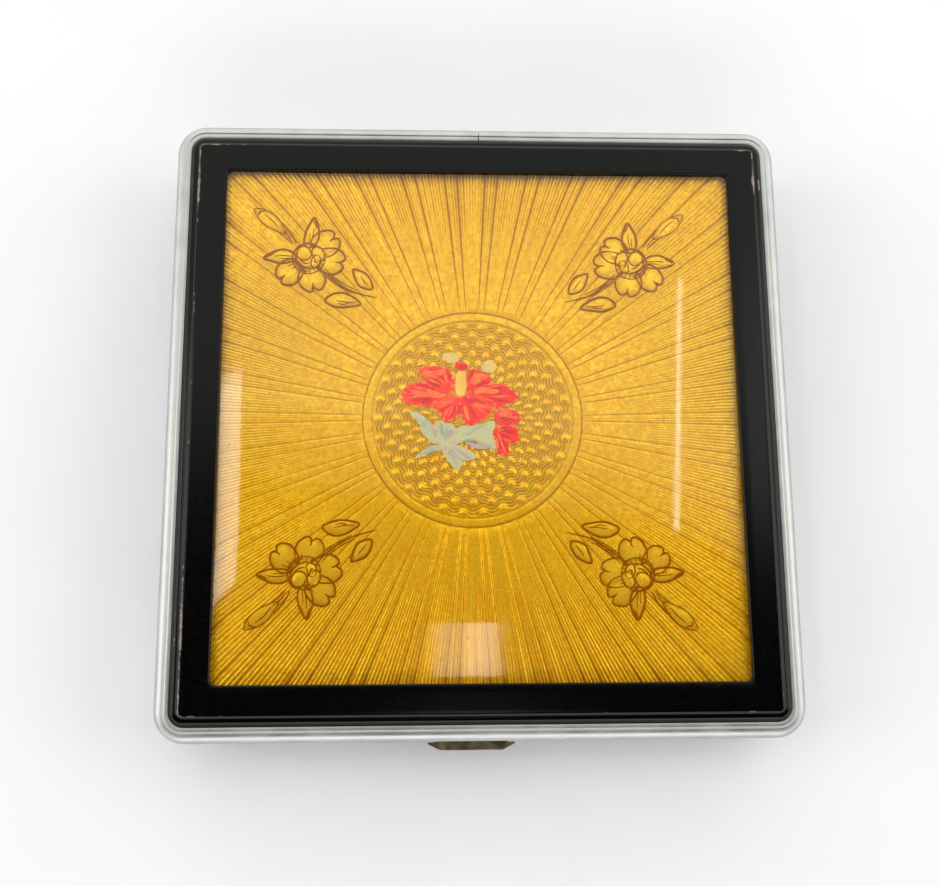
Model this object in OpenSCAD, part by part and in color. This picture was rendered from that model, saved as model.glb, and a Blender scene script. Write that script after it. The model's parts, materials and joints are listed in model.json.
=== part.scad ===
// Square powder compact with a domed clear window over an engraved gilt plate.
// The case stands on its base. +Z is up, +Y is the hinge side, -Y is the thumb catch.
// The origin is the centre of the bottom of the bounding box. Millimetres.

/* [Case] */
// Width of the closed case across its rims
case_w = 76; // [72:0.5:84]
// Outer corner radius of the rims
corner_r = 3.7; // [3.4:0.1:4.6]
// Height of the base, up to the parting line
base_h = 6.8; // [6.8:0.1:7.6]
// Height of the lid, from the parting line to its flat lip
lid_h = 5.4; // [5.4:0.1:6.2]
// Gap at the parting line
part_gap = 0.2; // [0.15:0.05:0.3]

/* [Rims] */
// Width of the bright rim seen from above
rim_w = 1.9; // [1.9:0.05:2.1]
// Radius of the large bead that rounds the rim's edge
bead_r = 1.3; // [1.2:0.05:1.3]
// Width of the butt seam at the back of each rim
seam_w = 0.12; // [0.08:0.02:0.2]

/* [Lid face] */
// Width of the enamelled border, from the rim to the window
border_w = 4.67; // [4.5:0.1:5]
// Rise of the enamelled border above the rim's lip
border_rise = 0.9; // [0.8:0.05:1]
// Rise of the clear dome's crown above the border
crown_rise = 0.7; // [0.4:0.1:0.9]
// Radius of the round medallion on the gilt plate
medal_r = 13.3; // [11:0.1:15]
// How far the medallion's centre sits from the case's, along X
medal_x = -1; // [-1.5:0.1:1.5]

/* [Hinge] */
// Outer radius of the lid hinge's barrels
barrel_r = 1.2; // [1.1:0.05:1.3]
// Radius of the lid hinge's pin
pin_r = 0.5; // [0.45:0.05:0.55]
// Running clearance between pins and barrels
run_gap = 0.05; // [0.03:0.01:0.08]
// Length of the lid hinge
hinge_len = 40; // [34:1:44]

/* [Powder well] */
// Inner radius of the powder well
well_r = 28.6; // [27.6:0.1:28.8]
// Depth of the loose powder
powder_h = 1.15; // [0.8:0.05:1.2]
// Radius of the powder puff
puff_r = 25.5; // [23:0.5:26]
// Width of the inner door
door_w = 62.6; // [62:0.1:63]

/* [Thumb catch] */
// Width of the thumb tab where it meets the case
tab_w = 10.5; // [10:0.1:12]
// Width of the thumb tab at its outer edge
tab_tip_w = 7.9; // [7:0.1:9]
// How far the catch sits from the middle of the front, along X
catch_x = -1.2; // [-2:0.1:2]

/* [Hidden] */
$fn = 48;
eps = 0.01;

// Half widths, measured from the case's centre line
rim_half = case_w / 2;
lip_half = rim_half - rim_w;
arc_c = rim_half - corner_r;
band_half = rim_half - 0.25;
wall_half = rim_half - 0.9;
inset_half = rim_half - 1.6;
window_half = lip_half - border_w;
plateau_half = lip_half - 1.3;
frame_half = rim_half - 2.5;

// Heights
sheet = 0.5;
foot_rise = border_rise + 0.2;
lid_z = base_h + part_gap;
lip_z = lid_z + lid_h;
border_z = lip_z + border_rise;
crown_z = border_z + crown_rise;
dome_seat_z = border_z - 2 * sheet;
foil_z = dome_seat_z - 0.3;
flange_z = lip_z - 1.15;
backing_z = flange_z + 0.05;
glass_z = flange_z - 1.5;
bezel_z = glass_z - 0.5;
deck_z = base_h - 0.45;
inner_lip = 1.1;
pan_flange_z = foot_rise + 1.2;
well_z = 0.65;
floor_z = well_z + 0.4;
sifter_z = floor_z + powder_h + 0.05;
puff_z = sifter_z + 1.05;
puff_top_z = puff_z + 2.75;
door_z = base_h + 0.1;

// Lid hinge
hinge_y = rim_half + 0.2;
hinge_z = base_h + part_gap / 2;
channel_r = barrel_r + 0.25;
hinge_seg = hinge_len / 5;

// Inner door's hinge
door_hinge_y = 31.8;
door_hinge_z = door_z + 0.75;
door_barrel_r = 0.75;
door_pin_r = 0.35;
door_seg = 4.8;

// Thumb catch
catch_z = 4.85;
catch_h = 1.35;
stem_half = 4.4;
slot_half = 4.6;
slot_top = catch_z + catch_h + 0.1;
tab_y = -(rim_half + 0.5);
tab_tip_y = -(hinge_y + barrel_r);
tongue_y = -(rim_half - 1.15);
stem_end_y = -34.8;

silver = [0.78, 0.79, 0.8];
brass = [0.72, 0.58, 0.32];

// ---- Outlines and sweeps ----

// Square with rounded corners, half is its half width
module rounded(half, r) {
    square([2 * half, 2 * (half - r)], center = true);
    square([2 * (half - r), 2 * half], center = true);
    for (x = [-1, 1], y = [-1, 1]) translate([x * (half - r), y * (half - r)]) circle(r);
}

// Flat plate with rounded corners between two heights
module plate(half, r, z0, z1) {
    translate([0, 0, z0]) linear_extrude(z1 - z0) rounded(half, r);
}

// Sweeps a profile round the case. The profile's x is its distance from the
// centre line and starts at c or beyond, and its y is the height.
module around(c = arc_c) {
    for (i = [0:3]) rotate(90 * i) {
        translate([0, c, 0]) rotate([90, 0, 0]) linear_extrude(2 * c) children();
        translate([c, c, 0]) rotate_extrude(angle = 90) translate([-c, 0]) children();
    }
}

function arc(cx, cy, r, a0, a1, n = 8) =
    [for (i = [0:n]) [cx + r * cos(a0 + (a1 - a0) * i / n), cy + r * sin(a0 + (a1 - a0) * i / n)]];

// Cylinder along X between two places
module bar(r, x0, x1, y, z) {
    translate([x0, y, z]) rotate([0, 90, 0]) cylinder(r = r, h = x1 - x0);
}

// Box between two corners
module block(a, b) {
    translate(a) cube(b - a);
}

// Moves a shape that belongs to the thumb catch to the catch's place
module at_catch() {
    translate([catch_x, 0, 0]) children();
}

// ---- Rims ----

// Section of a rim: a lip, a large bead, a plain band and a small bead at the
// parting line. lip is the lip's height and edge the parting edge's; up is 1 on
// the lid and -1 on the base.
module rim_section(lip, edge, up) {
    bead_x = rim_half - bead_r;
    bead_c = lip - up * bead_r;
    band_a = acos((band_half - bead_x) / bead_r);
    small_r = 0.45;
    small_a = acos((band_half - rim_half + small_r) / small_r);
    polygon(concat(
        [[lip_half, lip], [bead_x - 0.1, lip], [bead_x, lip - up * 0.2]],
        arc(bead_x, bead_c, bead_r, up * 83, -up * band_a, 10),
        arc(rim_half - small_r, edge + up * small_r, small_r, up * small_a, -up * 90, 8),
        [[wall_half, edge], [wall_half, lip - up * 0.6], [lip_half, lip - up * 0.6]]
    ));
}

module hinge_channel() {
    bar(channel_r, -hinge_len / 2 - 0.2, hinge_len / 2 + 0.2, hinge_y, hinge_z);
}

module rim_seam(z0, z1) {
    block([-seam_w / 2, wall_half - 2.5, z0], [seam_w / 2, rim_half + 1, z1]);
}

module base_rim() {
    color(silver) difference() {
        around() rim_section(foot_rise, base_h, -1);
        hinge_channel();
        rim_seam(0, base_h + 1);
        at_catch() {
            block([-slot_half, -rim_half - 1, catch_z - 0.1],
                  [slot_half, -wall_half + 1, slot_top]);
            // Flat behind the tab's shoulders, where they meet the bead
            block([-tab_w / 2 - 0.2, -rim_half - 1, catch_z - 0.1],
                  [tab_w / 2 + 0.2, -band_half, slot_top]);
        }
    }
}

module lid_rim() {
    color(silver) difference() {
        around() rim_section(lip_z, lid_z, 1);
        hinge_channel();
        rim_seam(lid_z - 1, lip_z + 1);
    }
}

// ---- Enamelled faces ----

// Section of a pressed face's shoulder, from its flange inside the rim to its
// plateau. lip is the rim's lip and up is 1 on the lid and -1 on the base.
module shoulder_section(lip, rise, up) {
    out = lip_half - 0.05;
    foot = lip - up * 0.6;
    polygon([
        [wall_half - 0.05, foot], [out, foot], [out, lip],
        [out - 0.12, lip + up * 0.3 * rise], [out - 0.4, lip + up * 0.58 * rise],
        [out - 0.65, lip + up * 0.66 * rise], [out - 0.95, lip + up * 0.7 * rise],
        [out - 1.08, lip + up * 0.86 * rise], [plateau_half - 0.1, lip + up * rise],
        [arc_c + 0.02, lip + up * rise], [arc_c + 0.02, lip + up * (rise - sheet)],
        [plateau_half - 0.1, lip + up * (rise - sheet)], [out - sheet - 0.1, lip],
        [out - sheet - 0.05, foot - up * 0.05], [out - sheet - 0.05, foot - up * 0.55],
        [wall_half - 0.05, foot - up * 0.55]
    ]);
}

module lid_panel() {
    color([0.05, 0.05, 0.05]) union() {
        around() shoulder_section(lip_z, border_rise, 1);
        difference() {
            plate(arc_c + 0.05, 0.02, border_z - sheet, border_z);
            plate(window_half, 0.8, border_z - 1, border_z + 1);
        }
    }
}

module base_pan() {
    color([0.05, 0.05, 0.05]) union() {
        around() shoulder_section(foot_rise, foot_rise, -1);
        plate(arc_c + 0.05, 0.02, 0, sheet);
    }
}

// ---- Window stack ----

// Height of the dome's outer skin: a cushion, flat at its crown and turning
// down near its edges
function cushion(x, y) =
    let (u = min(1, abs(x) / (window_half - 0.05)), v = min(1, abs(y) / (window_half - 0.05)))
    (1 - pow(u, 6)) * (1 - pow(v, 6));

dome_t = 0.5;
dome_edge_z = border_z - 0.35;
dome_step = window_half - 0.05;
dome_flange = window_half + 2;
// Stations across the dome, closer together near its edges
dome_n = 12;
dome_in = [for (i = [-dome_n:dome_n]) dome_step * sign(i) * (1 - pow(1 - abs(i) / dome_n, 1.6))];
dome_at = concat([-dome_flange, -dome_step - 0.02], dome_in, [dome_step + 0.02, dome_flange]);

function dome_top(x, y) =
    max(abs(x), abs(y)) > dome_step + eps ? dome_seat_z + sheet
    : dome_edge_z + (crown_z - dome_edge_z) * cushion(x, y);

module clear_dome() {
    n = len(dome_at);
    top = [for (y = dome_at, x = dome_at) [x, y, dome_top(x, y)]];
    under = [for (p = top) [p[0], p[1], p[2] - dome_t]];
    function at(i, j) = i * n + j;
    low = n * n;
    skins = [for (i = [0:n - 2], j = [0:n - 2]) each [
        [at(i, j), at(i + 1, j), at(i + 1, j + 1)], [at(i, j), at(i + 1, j + 1), at(i, j + 1)],
        [low + at(i, j), low + at(i + 1, j + 1), low + at(i + 1, j)],
        [low + at(i, j), low + at(i, j + 1), low + at(i + 1, j + 1)]
    ]];
    walls = [for (k = [0:n - 2]) each [
        [at(0, k), at(0, k + 1), low + at(0, k + 1), low + at(0, k)],
        [at(n - 1, k + 1), at(n - 1, k), low + at(n - 1, k), low + at(n - 1, k + 1)],
        [at(k + 1, 0), at(k, 0), low + at(k, 0), low + at(k + 1, 0)],
        [at(k, n - 1), at(k + 1, n - 1), low + at(k + 1, n - 1), low + at(k, n - 1)]
    ]];
    color([0.95, 0.95, 0.9, 0.35]) polyhedron(concat(top, under), concat(skins, walls));
}

// Engraved gilt plate with a plain ring round its medallion
module foil_plate() {
    color([0.93, 0.72, 0.26]) union() {
        plate(frame_half - 2, 1, foil_z, dome_seat_z);
        translate([medal_x, 0, foil_z]) rotate_extrude()
            translate([medal_r - 1.4, 0]) square([1.4, dome_seat_z + 0.08 - foil_z]);
    }
}

module lid_backing() {
    color([0.62, 0.52, 0.38]) plate(frame_half - 2, 1, backing_z, foil_z);
}

// ---- Mirror ----

module mirror_glass() {
    glass_half = frame_half - 1.6;
    bevel = 2.2;
    color([0.8, 0.86, 0.88]) union() {
        plate(glass_half - bevel, 0.4, glass_z + 0.05, backing_z - 0.05);
        around(glass_half - bevel - 0.5) polygon([
            [glass_half - bevel - 0.4, glass_z + 0.05], [glass_half - bevel, glass_z + 0.05],
            [glass_half, glass_z + 0.6], [glass_half, backing_z - 0.05],
            [glass_half - bevel - 0.4, backing_z - 0.05]
        ]);
    }
}

// Frame that holds the mirror, with a rolled inner edge
module mirror_bezel() {
    color(brass) around(31) polygon(concat(
        [[frame_half + 0.9, flange_z], [frame_half + 0.4, flange_z],
         [frame_half + 0.4, glass_z + 0.5], [frame_half - 1.4, glass_z + 0.5],
         [frame_half - 1.4, glass_z], [31.9, glass_z]],
        arc(31.9, glass_z - 0.25, 0.25, 90, 270, 6),
        [[frame_half + 0.5, bezel_z], [frame_half + 0.9, bezel_z + 0.4]]
    ));
}

// ---- Lid hinge ----

function hinge_x(i) = -hinge_len / 2 + i * hinge_seg;

// Leaf and barrels of one half of the hinge. up is 1 on the lid and -1 on the base.
module hinge_leaf(segments, z0, z1, up) {
    y0 = wall_half - 0.65;
    difference() {
        union() {
            block([-hinge_len / 2, y0, z0], [hinge_len / 2, wall_half - eps, z1]);
            for (i = segments) {
                x0 = hinge_x(i) + 0.05;
                x1 = hinge_x(i + 1) - 0.05;
                bar(barrel_r, x0, x1, hinge_y, hinge_z);
                for (web = [[y0, wall_half - eps, 1.4], [y0, hinge_y - 0.6, 0.85]])
                    block([x0, web[0], hinge_z + (up > 0 ? 0.45 : -web[2])],
                          [x1, web[1], hinge_z + (up > 0 ? web[2] : -0.45)]);
            }
        }
        bar(pin_r + run_gap, -hinge_len, hinge_len, hinge_y, hinge_z);
    }
}

module lid_hinge_leaf() {
    color(silver) hinge_leaf([1, 3], hinge_z + 1.3, flange_z - 0.1, 1);
}

module base_hinge_leaf() {
    color(silver) hinge_leaf([0, 2, 4], pan_flange_z + 0.2, hinge_z - 1.3, -1);
}

module hinge_pin() {
    color([0.6, 0.6, 0.6]) bar(pin_r, -hinge_len / 2, hinge_len / 2, hinge_y, hinge_z);
}

// ---- Powder well and what it holds ----

module powder_well() {
    deck_half = inset_half;
    wall = 0.5;
    color(brass) difference() {
        union() {
            difference() {
                union() {
                    around() polygon([
                        [arc_c + 0.02, deck_z], [deck_half - 0.45, deck_z],
                        [deck_half - 0.45, pan_flange_z + 0.05],
                        [deck_half, pan_flange_z + 0.05], [deck_half, base_h + inner_lip],
                        [deck_half - 0.45, base_h + inner_lip], [deck_half - 0.45, base_h],
                        [arc_c + 0.02, base_h]
                    ]);
                    plate(arc_c + 0.05, 0.02, deck_z, base_h);
                }
                translate([0, 0, well_z]) cylinder(r = well_r + wall / 2, h = base_h);
            }
            rotate_extrude() polygon([
                [0, well_z], [well_r + wall, well_z], [well_r + wall, base_h - 0.1],
                [well_r, base_h - 0.1], [well_r, floor_z], [0, floor_z]
            ]);
        }
        // Room for the catch under the deck, and the keeper's notch in the deck
        at_catch() {
            block([-9.5, -rim_half, catch_z - 1.1], [9.5, -deck_half + 3, deck_z]);
            block([-3.7, -rim_half, deck_z - 1],
                  [3.7, -deck_half + 0.8, base_h + inner_lip + 1]);
        }
    }
}

module loose_powder() {
    color([0.9, 0.76, 0.64]) translate([0, 0, floor_z]) cylinder(r = well_r - 0.05, h = powder_h);
}

module sifter_ring() {
    color(silver) translate([0, 0, sifter_z]) difference() {
        cylinder(r = well_r - 0.15, h = 1);
        translate([0, 0, -1]) cylinder(r = well_r - 2, h = 3);
    }
}

module sifter_gauze() {
    color([0.85, 0.85, 0.82]) translate([0, 0, sifter_z + 0.45]) cylinder(r = well_r - 2, h = 0.12);
}

module powder_puff() {
    color([0.93, 0.8, 0.76]) translate([0, 0, puff_z]) rotate_extrude() polygon(concat(
        [[0, 0]], arc(puff_r - 0.8, 0.8, 0.8, -90, 0, 5),
        arc(puff_r - 0.8, 1.95, 0.8, 0, 90, 5), [[0, 2.75]]
    ));
}

module puff_ribbon() {
    color([0.85, 0.6, 0.58])
        block([-5, -puff_r + 1.6, puff_top_z + eps], [5, puff_r - 1.6, puff_top_z + 0.2]);
}

// ---- Inner door ----

function door_x(i) = (i - 2.5) * door_seg;

module door_lugs() {
    color(brass) difference() {
        for (i = [0, 2, 4]) {
            bar(door_barrel_r, door_x(i) + 0.08, door_x(i + 1) - 0.08, door_hinge_y, door_hinge_z);
            block([door_x(i) + 0.08, door_hinge_y - 0.5, base_h],
                  [door_x(i + 1) - 0.08, door_hinge_y + 0.5, door_hinge_z]);
        }
        bar(door_pin_r + run_gap, -20, 20, door_hinge_y, door_hinge_z);
    }
}

module door_pin() {
    color([0.6, 0.6, 0.6])
        bar(door_pin_r, door_x(0), door_x(5), door_hinge_y, door_hinge_z);
}

// Pressed door with a raised ring, a finger tab and two rolled barrels
module inner_door() {
    t = 0.45;
    back = door_hinge_y - 1.1;
    color([0.86, 0.68, 0.34]) difference() {
        union() {
            intersection() {
                plate(door_w / 2, 2.4, door_z, door_z + t);
                block([-rim_half, -rim_half, 0], [rim_half, back, 20]);
            }
            block([-4, -door_w / 2 - 1.5, door_z], [4, -door_w / 2 + 1, door_z + t]);
            translate([0, 0, door_z + t]) rotate_extrude()
                translate([22, 0]) polygon([[0, -0.1], [0.3, 0.18], [1.1, 0.18], [1.4, -0.1]]);
            for (i = [1, 3]) {
                bar(door_barrel_r, door_x(i) + 0.08, door_x(i + 1) - 0.08,
                    door_hinge_y, door_hinge_z);
                block([door_x(i) + 0.08, back - 0.5, door_z],
                      [door_x(i + 1) - 0.08, door_hinge_y, door_z + t]);
            }
        }
        bar(door_pin_r + run_gap, -20, 20, door_hinge_y, door_hinge_z);
    }
}

// ---- Thumb catch ----

// Tab, stem and nose in one plate. The keeper's tongue hangs in its opening.
module thumb_catch() {
    color([0.42, 0.38, 0.28]) translate([catch_x, 0, catch_z]) linear_extrude(catch_h) difference() {
        polygon([
            [-tab_tip_w / 2 + 0.2, tab_tip_y], [tab_tip_w / 2 - 0.2, tab_tip_y],
            [tab_tip_w / 2 + 0.1, tab_tip_y + 0.15], [tab_w / 2, tab_y - 0.15],
            [tab_w / 2, tab_y], [stem_half, tab_y], [stem_half, stem_end_y],
            [-stem_half, stem_end_y], [-stem_half, tab_y], [-tab_w / 2, tab_y],
            [-tab_w / 2, tab_y - 0.15], [-tab_tip_w / 2 - 0.1, tab_tip_y + 0.15]
        ]);
        translate([-3.4, tongue_y - 1.05]) square([6.8, 1.65]);
    }
}

// Lug on the lid whose tongue reaches down behind the base's front wall
module catch_keeper() {
    color(silver) at_catch() union() {
        block([-5, -wall_half + eps, lid_z + 1.2], [5, -wall_half + 0.65, flange_z - 0.1]);
        block([-3, tongue_y, catch_z + 0.3], [3, tongue_y + 0.5, lid_z + 2]);
    }
}

// Guide for the catch, fixed to the base's front wall
module catch_bracket() {
    front = -wall_half + eps;
    floor_top = catch_z - 0.1;
    color(brass) at_catch() difference() {
        union() {
            block([-8.5, front, floor_top - 0.6], [8.5, -33.3, floor_top]);
            for (x = [-1, 1]) {
                translate([x * 5.05, 0, 0])
                    block([-0.4, front, floor_top - eps], [0.4, -35.3, slot_top - 0.05]);
                translate([x * 7.4, 0, 0])
                    block([-0.9, -33.7, floor_top - eps], [0.9, -33.3, slot_top - 0.05]);
            }
        }
        rivet_holes();
    }
}

rivet_z = catch_z + 0.65;

module rivet_holes() {
    for (x = [-7.4, 7.4]) translate([x, -32, rivet_z]) rotate([90, 0, 0]) cylinder(r = 0.32, h = 4);
}

// Bowed leaf that pushes the catch outwards
module catch_spring() {
    bow_r = 42;
    bow_y = stem_end_y + 0.06 + bow_r;
    color([0.5, 0.5, 0.52]) at_catch() difference() {
        translate([0, bow_y, rivet_z - 0.45]) rotate([0, 0, -90 - 11.5])
            rotate_extrude(angle = 23, $fn = 240) translate([bow_r - 0.18, 0]) square([0.18, 0.9]);
        rivet_holes();
    }
}

module catch_rivets() {
    color(brass) at_catch() for (x = [-7.4, 7.4]) translate([x, 0, rivet_z]) rotate([90, 0, 0]) {
        translate([0, 0, 33.2]) cylinder(r = 0.32, h = 1);
        translate([0, 0, 34.12]) cylinder(r = 0.5, h = 0.25);
    }
}

base_rim();
base_pan();
base_hinge_leaf();
hinge_pin();
powder_well();
loose_powder();
sifter_ring();
sifter_gauze();
powder_puff();
puff_ribbon();
door_lugs();
door_pin();
catch_bracket();
catch_spring();
catch_rivets();
inner_door();
thumb_catch();
lid_rim();
lid_panel();
clear_dome();
foil_plate();
lid_backing();
mirror_glass();
mirror_bezel();
lid_hinge_leaf();
catch_keeper();
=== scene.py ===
import json
import math
import random

import bpy
import bmesh
import numpy as np
from mathutils import Matrix, Vector, noise


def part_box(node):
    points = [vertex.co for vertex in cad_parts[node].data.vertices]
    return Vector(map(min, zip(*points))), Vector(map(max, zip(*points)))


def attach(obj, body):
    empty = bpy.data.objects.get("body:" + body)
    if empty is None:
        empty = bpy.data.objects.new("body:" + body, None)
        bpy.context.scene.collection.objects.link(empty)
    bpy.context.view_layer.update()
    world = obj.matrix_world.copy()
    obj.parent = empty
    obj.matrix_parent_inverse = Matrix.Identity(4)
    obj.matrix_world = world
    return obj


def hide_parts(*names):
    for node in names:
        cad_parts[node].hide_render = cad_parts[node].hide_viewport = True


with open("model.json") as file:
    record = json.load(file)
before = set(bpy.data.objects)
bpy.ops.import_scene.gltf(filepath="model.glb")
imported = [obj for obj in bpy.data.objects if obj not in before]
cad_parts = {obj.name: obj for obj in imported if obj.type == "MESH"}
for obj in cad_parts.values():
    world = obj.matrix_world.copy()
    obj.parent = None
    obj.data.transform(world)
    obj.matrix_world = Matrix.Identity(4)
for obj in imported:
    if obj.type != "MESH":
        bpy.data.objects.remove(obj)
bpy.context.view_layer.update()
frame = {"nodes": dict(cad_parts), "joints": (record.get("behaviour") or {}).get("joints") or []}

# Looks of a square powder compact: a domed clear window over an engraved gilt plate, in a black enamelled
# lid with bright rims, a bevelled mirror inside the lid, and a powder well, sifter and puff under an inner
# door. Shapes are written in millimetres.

MM = 0.001
draw = random.Random(41)           # unevenness of the engraver's hand


# ---- Sizes, from the frame ----

def box_mm(node):
    low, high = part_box(node)
    return low / MM, high / MM


rim_low, rim_high = box_mm("lid_rim")
base_low, base_high = box_mm("base_rim")
pan_low, pan_high = box_mm("base_pan")
dome_low, dome_high = box_mm("clear_dome")
foil_low = box_mm("foil_plate")[0]

RIM_HALF = rim_high.x
CORNER_C = RIM_HALF - 3.7          # where the corners' arcs are centred
LIP_HALF = RIM_HALF - 1.9          # inner edge of the rims' flat lip
WALL_HALF = RIM_HALF - 0.9         # inner face of the rims
FLANGE_HALF = LIP_HALF + 0.9       # edge of the enamelled faces, under the rims
LIP_Z = rim_high.z
BORDER_Z = box_mm("lid_panel")[1].z
CROWN_Z = dome_high.z
FOIL_Z = foil_low.z + 0.3          # the plate's face, between its ring and its grooves
WINDOW_HALF = LIP_HALF - 4.67
SHEET = 0.5                        # thickness of the enamelled sheet
MEDAL = Vector((-1.0, 0.0))        # the engraving sits a little off the case's centre
MEDAL_R = 13.3
CREST = 2.4                        # how flat the crown of a low dome is


# ---- Meshes ----

def arc(cx, cy, r, start, end, steps):
    """Points of an arc in degrees."""
    turn = [math.radians(start + (end - start) * i / steps) for i in range(steps + 1)]
    return [(cx + r * math.cos(a), cy + r * math.sin(a)) for a in turn]


def oval(wide, high, steps, at=(0.0, 0.0)):
    """Points round an oval of those half sizes."""
    turns = [math.tau * i / steps for i in range(steps)]
    return [(at[0] + wide * math.cos(a), at[1] + high * math.sin(a)) for a in turns]


def mesh_mm(name, verts, faces):
    """A mesh from points in millimetres."""
    mesh = bpy.data.meshes.new(name)
    mesh.from_pydata([Vector(v) * MM for v in verts], [], faces)
    return mesh


def face_out(mesh):
    """Turns all faces of a mesh to face out."""
    edit = bmesh.new()
    edit.from_mesh(mesh)
    bmesh.ops.recalc_face_normals(edit, faces=edit.faces)
    edit.to_mesh(mesh)
    edit.free()


def add_object(name, data):
    obj = bpy.data.objects.new(name, data)
    bpy.context.scene.collection.objects.link(obj)
    return obj


def piece(name, verts, faces, body, slot, material, replaces=(), smooth=40, attributes=None):
    """A mesh object from points in millimetres, riding on a body. smooth is the sharp-edge angle."""
    mesh = mesh_mm(name, verts, faces)
    for key, values in (attributes or {}).items():
        mesh.attributes.new(key, "FLOAT", "POINT").data.foreach_set("value", np.array(values, np.float32))
    return adopt(name, mesh, body, material, replaces, smooth)


def adopt(name, mesh, body, material, replaces=(), smooth=40):
    """Makes a mesh a piece: its material, shading, body and the CAD nodes it stands for."""
    obj = add_object(name, mesh)
    face_out(mesh)
    mesh.materials.clear()
    mesh.materials.append(material)
    shade(mesh, smooth)
    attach(obj, body)
    if replaces:
        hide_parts(*replaces)
    return obj


def shade(mesh, angle):
    """Smooth shading that breaks at edges sharper than angle."""
    mesh.shade_smooth()
    if angle < 180:
        mesh.set_sharp_from_angle(angle=math.radians(angle))


def square_loop(half, r, sides=24, corner=14, gap=0.0):
    """Points round a square with rounded corners, from the middle of its back. A gap leaves it open there."""
    c = half - r
    points = []
    for k in range(1, 6):
        turn = math.radians(90 * k)
        ca, sa = math.cos(turn), math.sin(turn)
        if k == 1:
            run = [gap / 2 + (c - gap / 2) * i / (sides // 2) for i in range(sides // 2 + 1)]
        elif k == 5:
            run = [-c + (c - gap / 2) * i / (sides // 2) for i in range(sides // 2 + 1)]
        else:
            run = [-c + 2 * c * i / sides for i in range(sides + 1)]
        local = [(half, s) for s in run]
        if k < 5:
            local += arc(c, c, r, 0, 90, corner)[1:-1]
        points += [(x * ca - y * sa, x * sa + y * ca) for x, y in local]
    return points if gap else points[:-1]


def bridge(rings, closed_rings, closed_across, count):
    """Quads between rings of count points each."""
    last = rings if closed_across else rings - 1
    width = count if closed_rings else count - 1
    return [(a * count + i, a * count + (i + 1) % count,
             (a + 1) % rings * count + (i + 1) % count, (a + 1) % rings * count + i)
            for a in range(last) for i in range(width)]


def join(a, b, count):
    """Quads between two rings that start at points a and b."""
    return [(a + i, a + (i + 1) % count, b + (i + 1) % count, b + i) for i in range(count)]


def fan_faces(start, count, apex):
    """Triangles from a ring of count points to one point."""
    return [(start + i, start + (i + 1) % count, apex) for i in range(count)]


def swept(profile, gap):
    """Sweeps a closed profile of (distance from centre, height) round the case, a little unevenly, and leaves
    a gap at the middle of the back."""
    verts, unevenness = [], 0.0006
    for half, z in profile:
        for x, y in square_loop(half, max(0.4, half - CORNER_C), gap=gap):
            push = unevenness * noise.noise(Vector((x * 0.09, y * 0.09, z * 0.2)))
            verts.append((x * (1 + push), y * (1 + push), z))
    count = len(verts) // len(profile)
    faces = bridge(len(profile), False, True, count)
    faces.append([a * count for a in range(len(profile))])
    faces.append([a * count + count - 1 for a in reversed(range(len(profile)))])
    return verts, faces


def lofted(loops):
    """Surface through loops of (half, corner radius, height), closed at the last one."""
    verts = [(x, y, z) for half, r, z in loops for x, y in square_loop(half, r)]
    count = len(verts) // len(loops)
    faces = bridge(len(loops), True, False, count)
    verts.append((0, 0, loops[-1][2]))
    return verts, faces + fan_faces((len(loops) - 1) * count, count, len(verts) - 1)


def box_mesh(low, high):
    """Corners and faces of a box, for cutting."""
    verts = [(x, y, z) for x in (low[0], high[0]) for y in (low[1], high[1]) for z in (low[2], high[2])]
    return verts, [(0, 1, 3, 2), (4, 6, 7, 5), (0, 4, 5, 1), (2, 3, 7, 6), (0, 2, 6, 4), (1, 5, 7, 3)]


def cut(obj, *cutters):
    """Takes closed meshes, in millimetres, out of an object."""
    for verts, faces in cutters:
        mesh = mesh_mm("cutter", verts, faces)
        face_out(mesh)
        tool = add_object("cutter", mesh)
        mod = obj.modifiers.new("cut", "BOOLEAN")
        mod.object, mod.solver = tool, "EXACT"
        apply_modifiers(obj)
        bpy.data.objects.remove(tool)


def apply_modifiers(obj):
    graph = bpy.context.evaluated_depsgraph_get()
    shaped = obj.evaluated_get(graph)
    mesh = bpy.data.meshes.new_from_object(shaped, preserve_all_data_layers=True, depsgraph=graph)
    obj.modifiers.clear()
    old, obj.data = obj.data, mesh
    bpy.data.meshes.remove(old)


def rod(points, radius, flat=1.0, sides=8, closed=False, taper=True):
    """A thin ridge along points. flat is its height as a share of its width; taper thins an open end."""
    verts, count = [], len(points)
    for i, p in enumerate(points):
        a = points[(i - 1) % count] if closed or i else p
        b = points[(i + 1) % count] if closed or i < count - 1 else p
        along = (Vector(b) - Vector(a)).normalized()
        across = Vector((-along.y, along.x, 0)).normalized()
        share = i / max(1, count - 1)
        swell = 0.25 + 0.75 * math.sin(math.pi * min(1, max(0, share))) ** 0.6
        thick = radius * (swell if taper and not closed else 1)
        for k in range(sides):
            turn = math.tau * k / sides
            rise = Vector((0, 0, flat * thick * math.sin(turn)))
            verts.append(Vector(p) + across * thick * math.cos(turn) + rise)
    faces = [(i * sides + k, i * sides + (k + 1) % sides,
              (i + 1) % count * sides + (k + 1) % sides, (i + 1) % count * sides + k)
             for i in range(count if closed else count - 1) for k in range(sides)]
    if not closed:
        faces += [tuple(reversed(range(sides))), tuple(range((count - 1) * sides, count * sides))]
    return verts, faces


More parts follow.
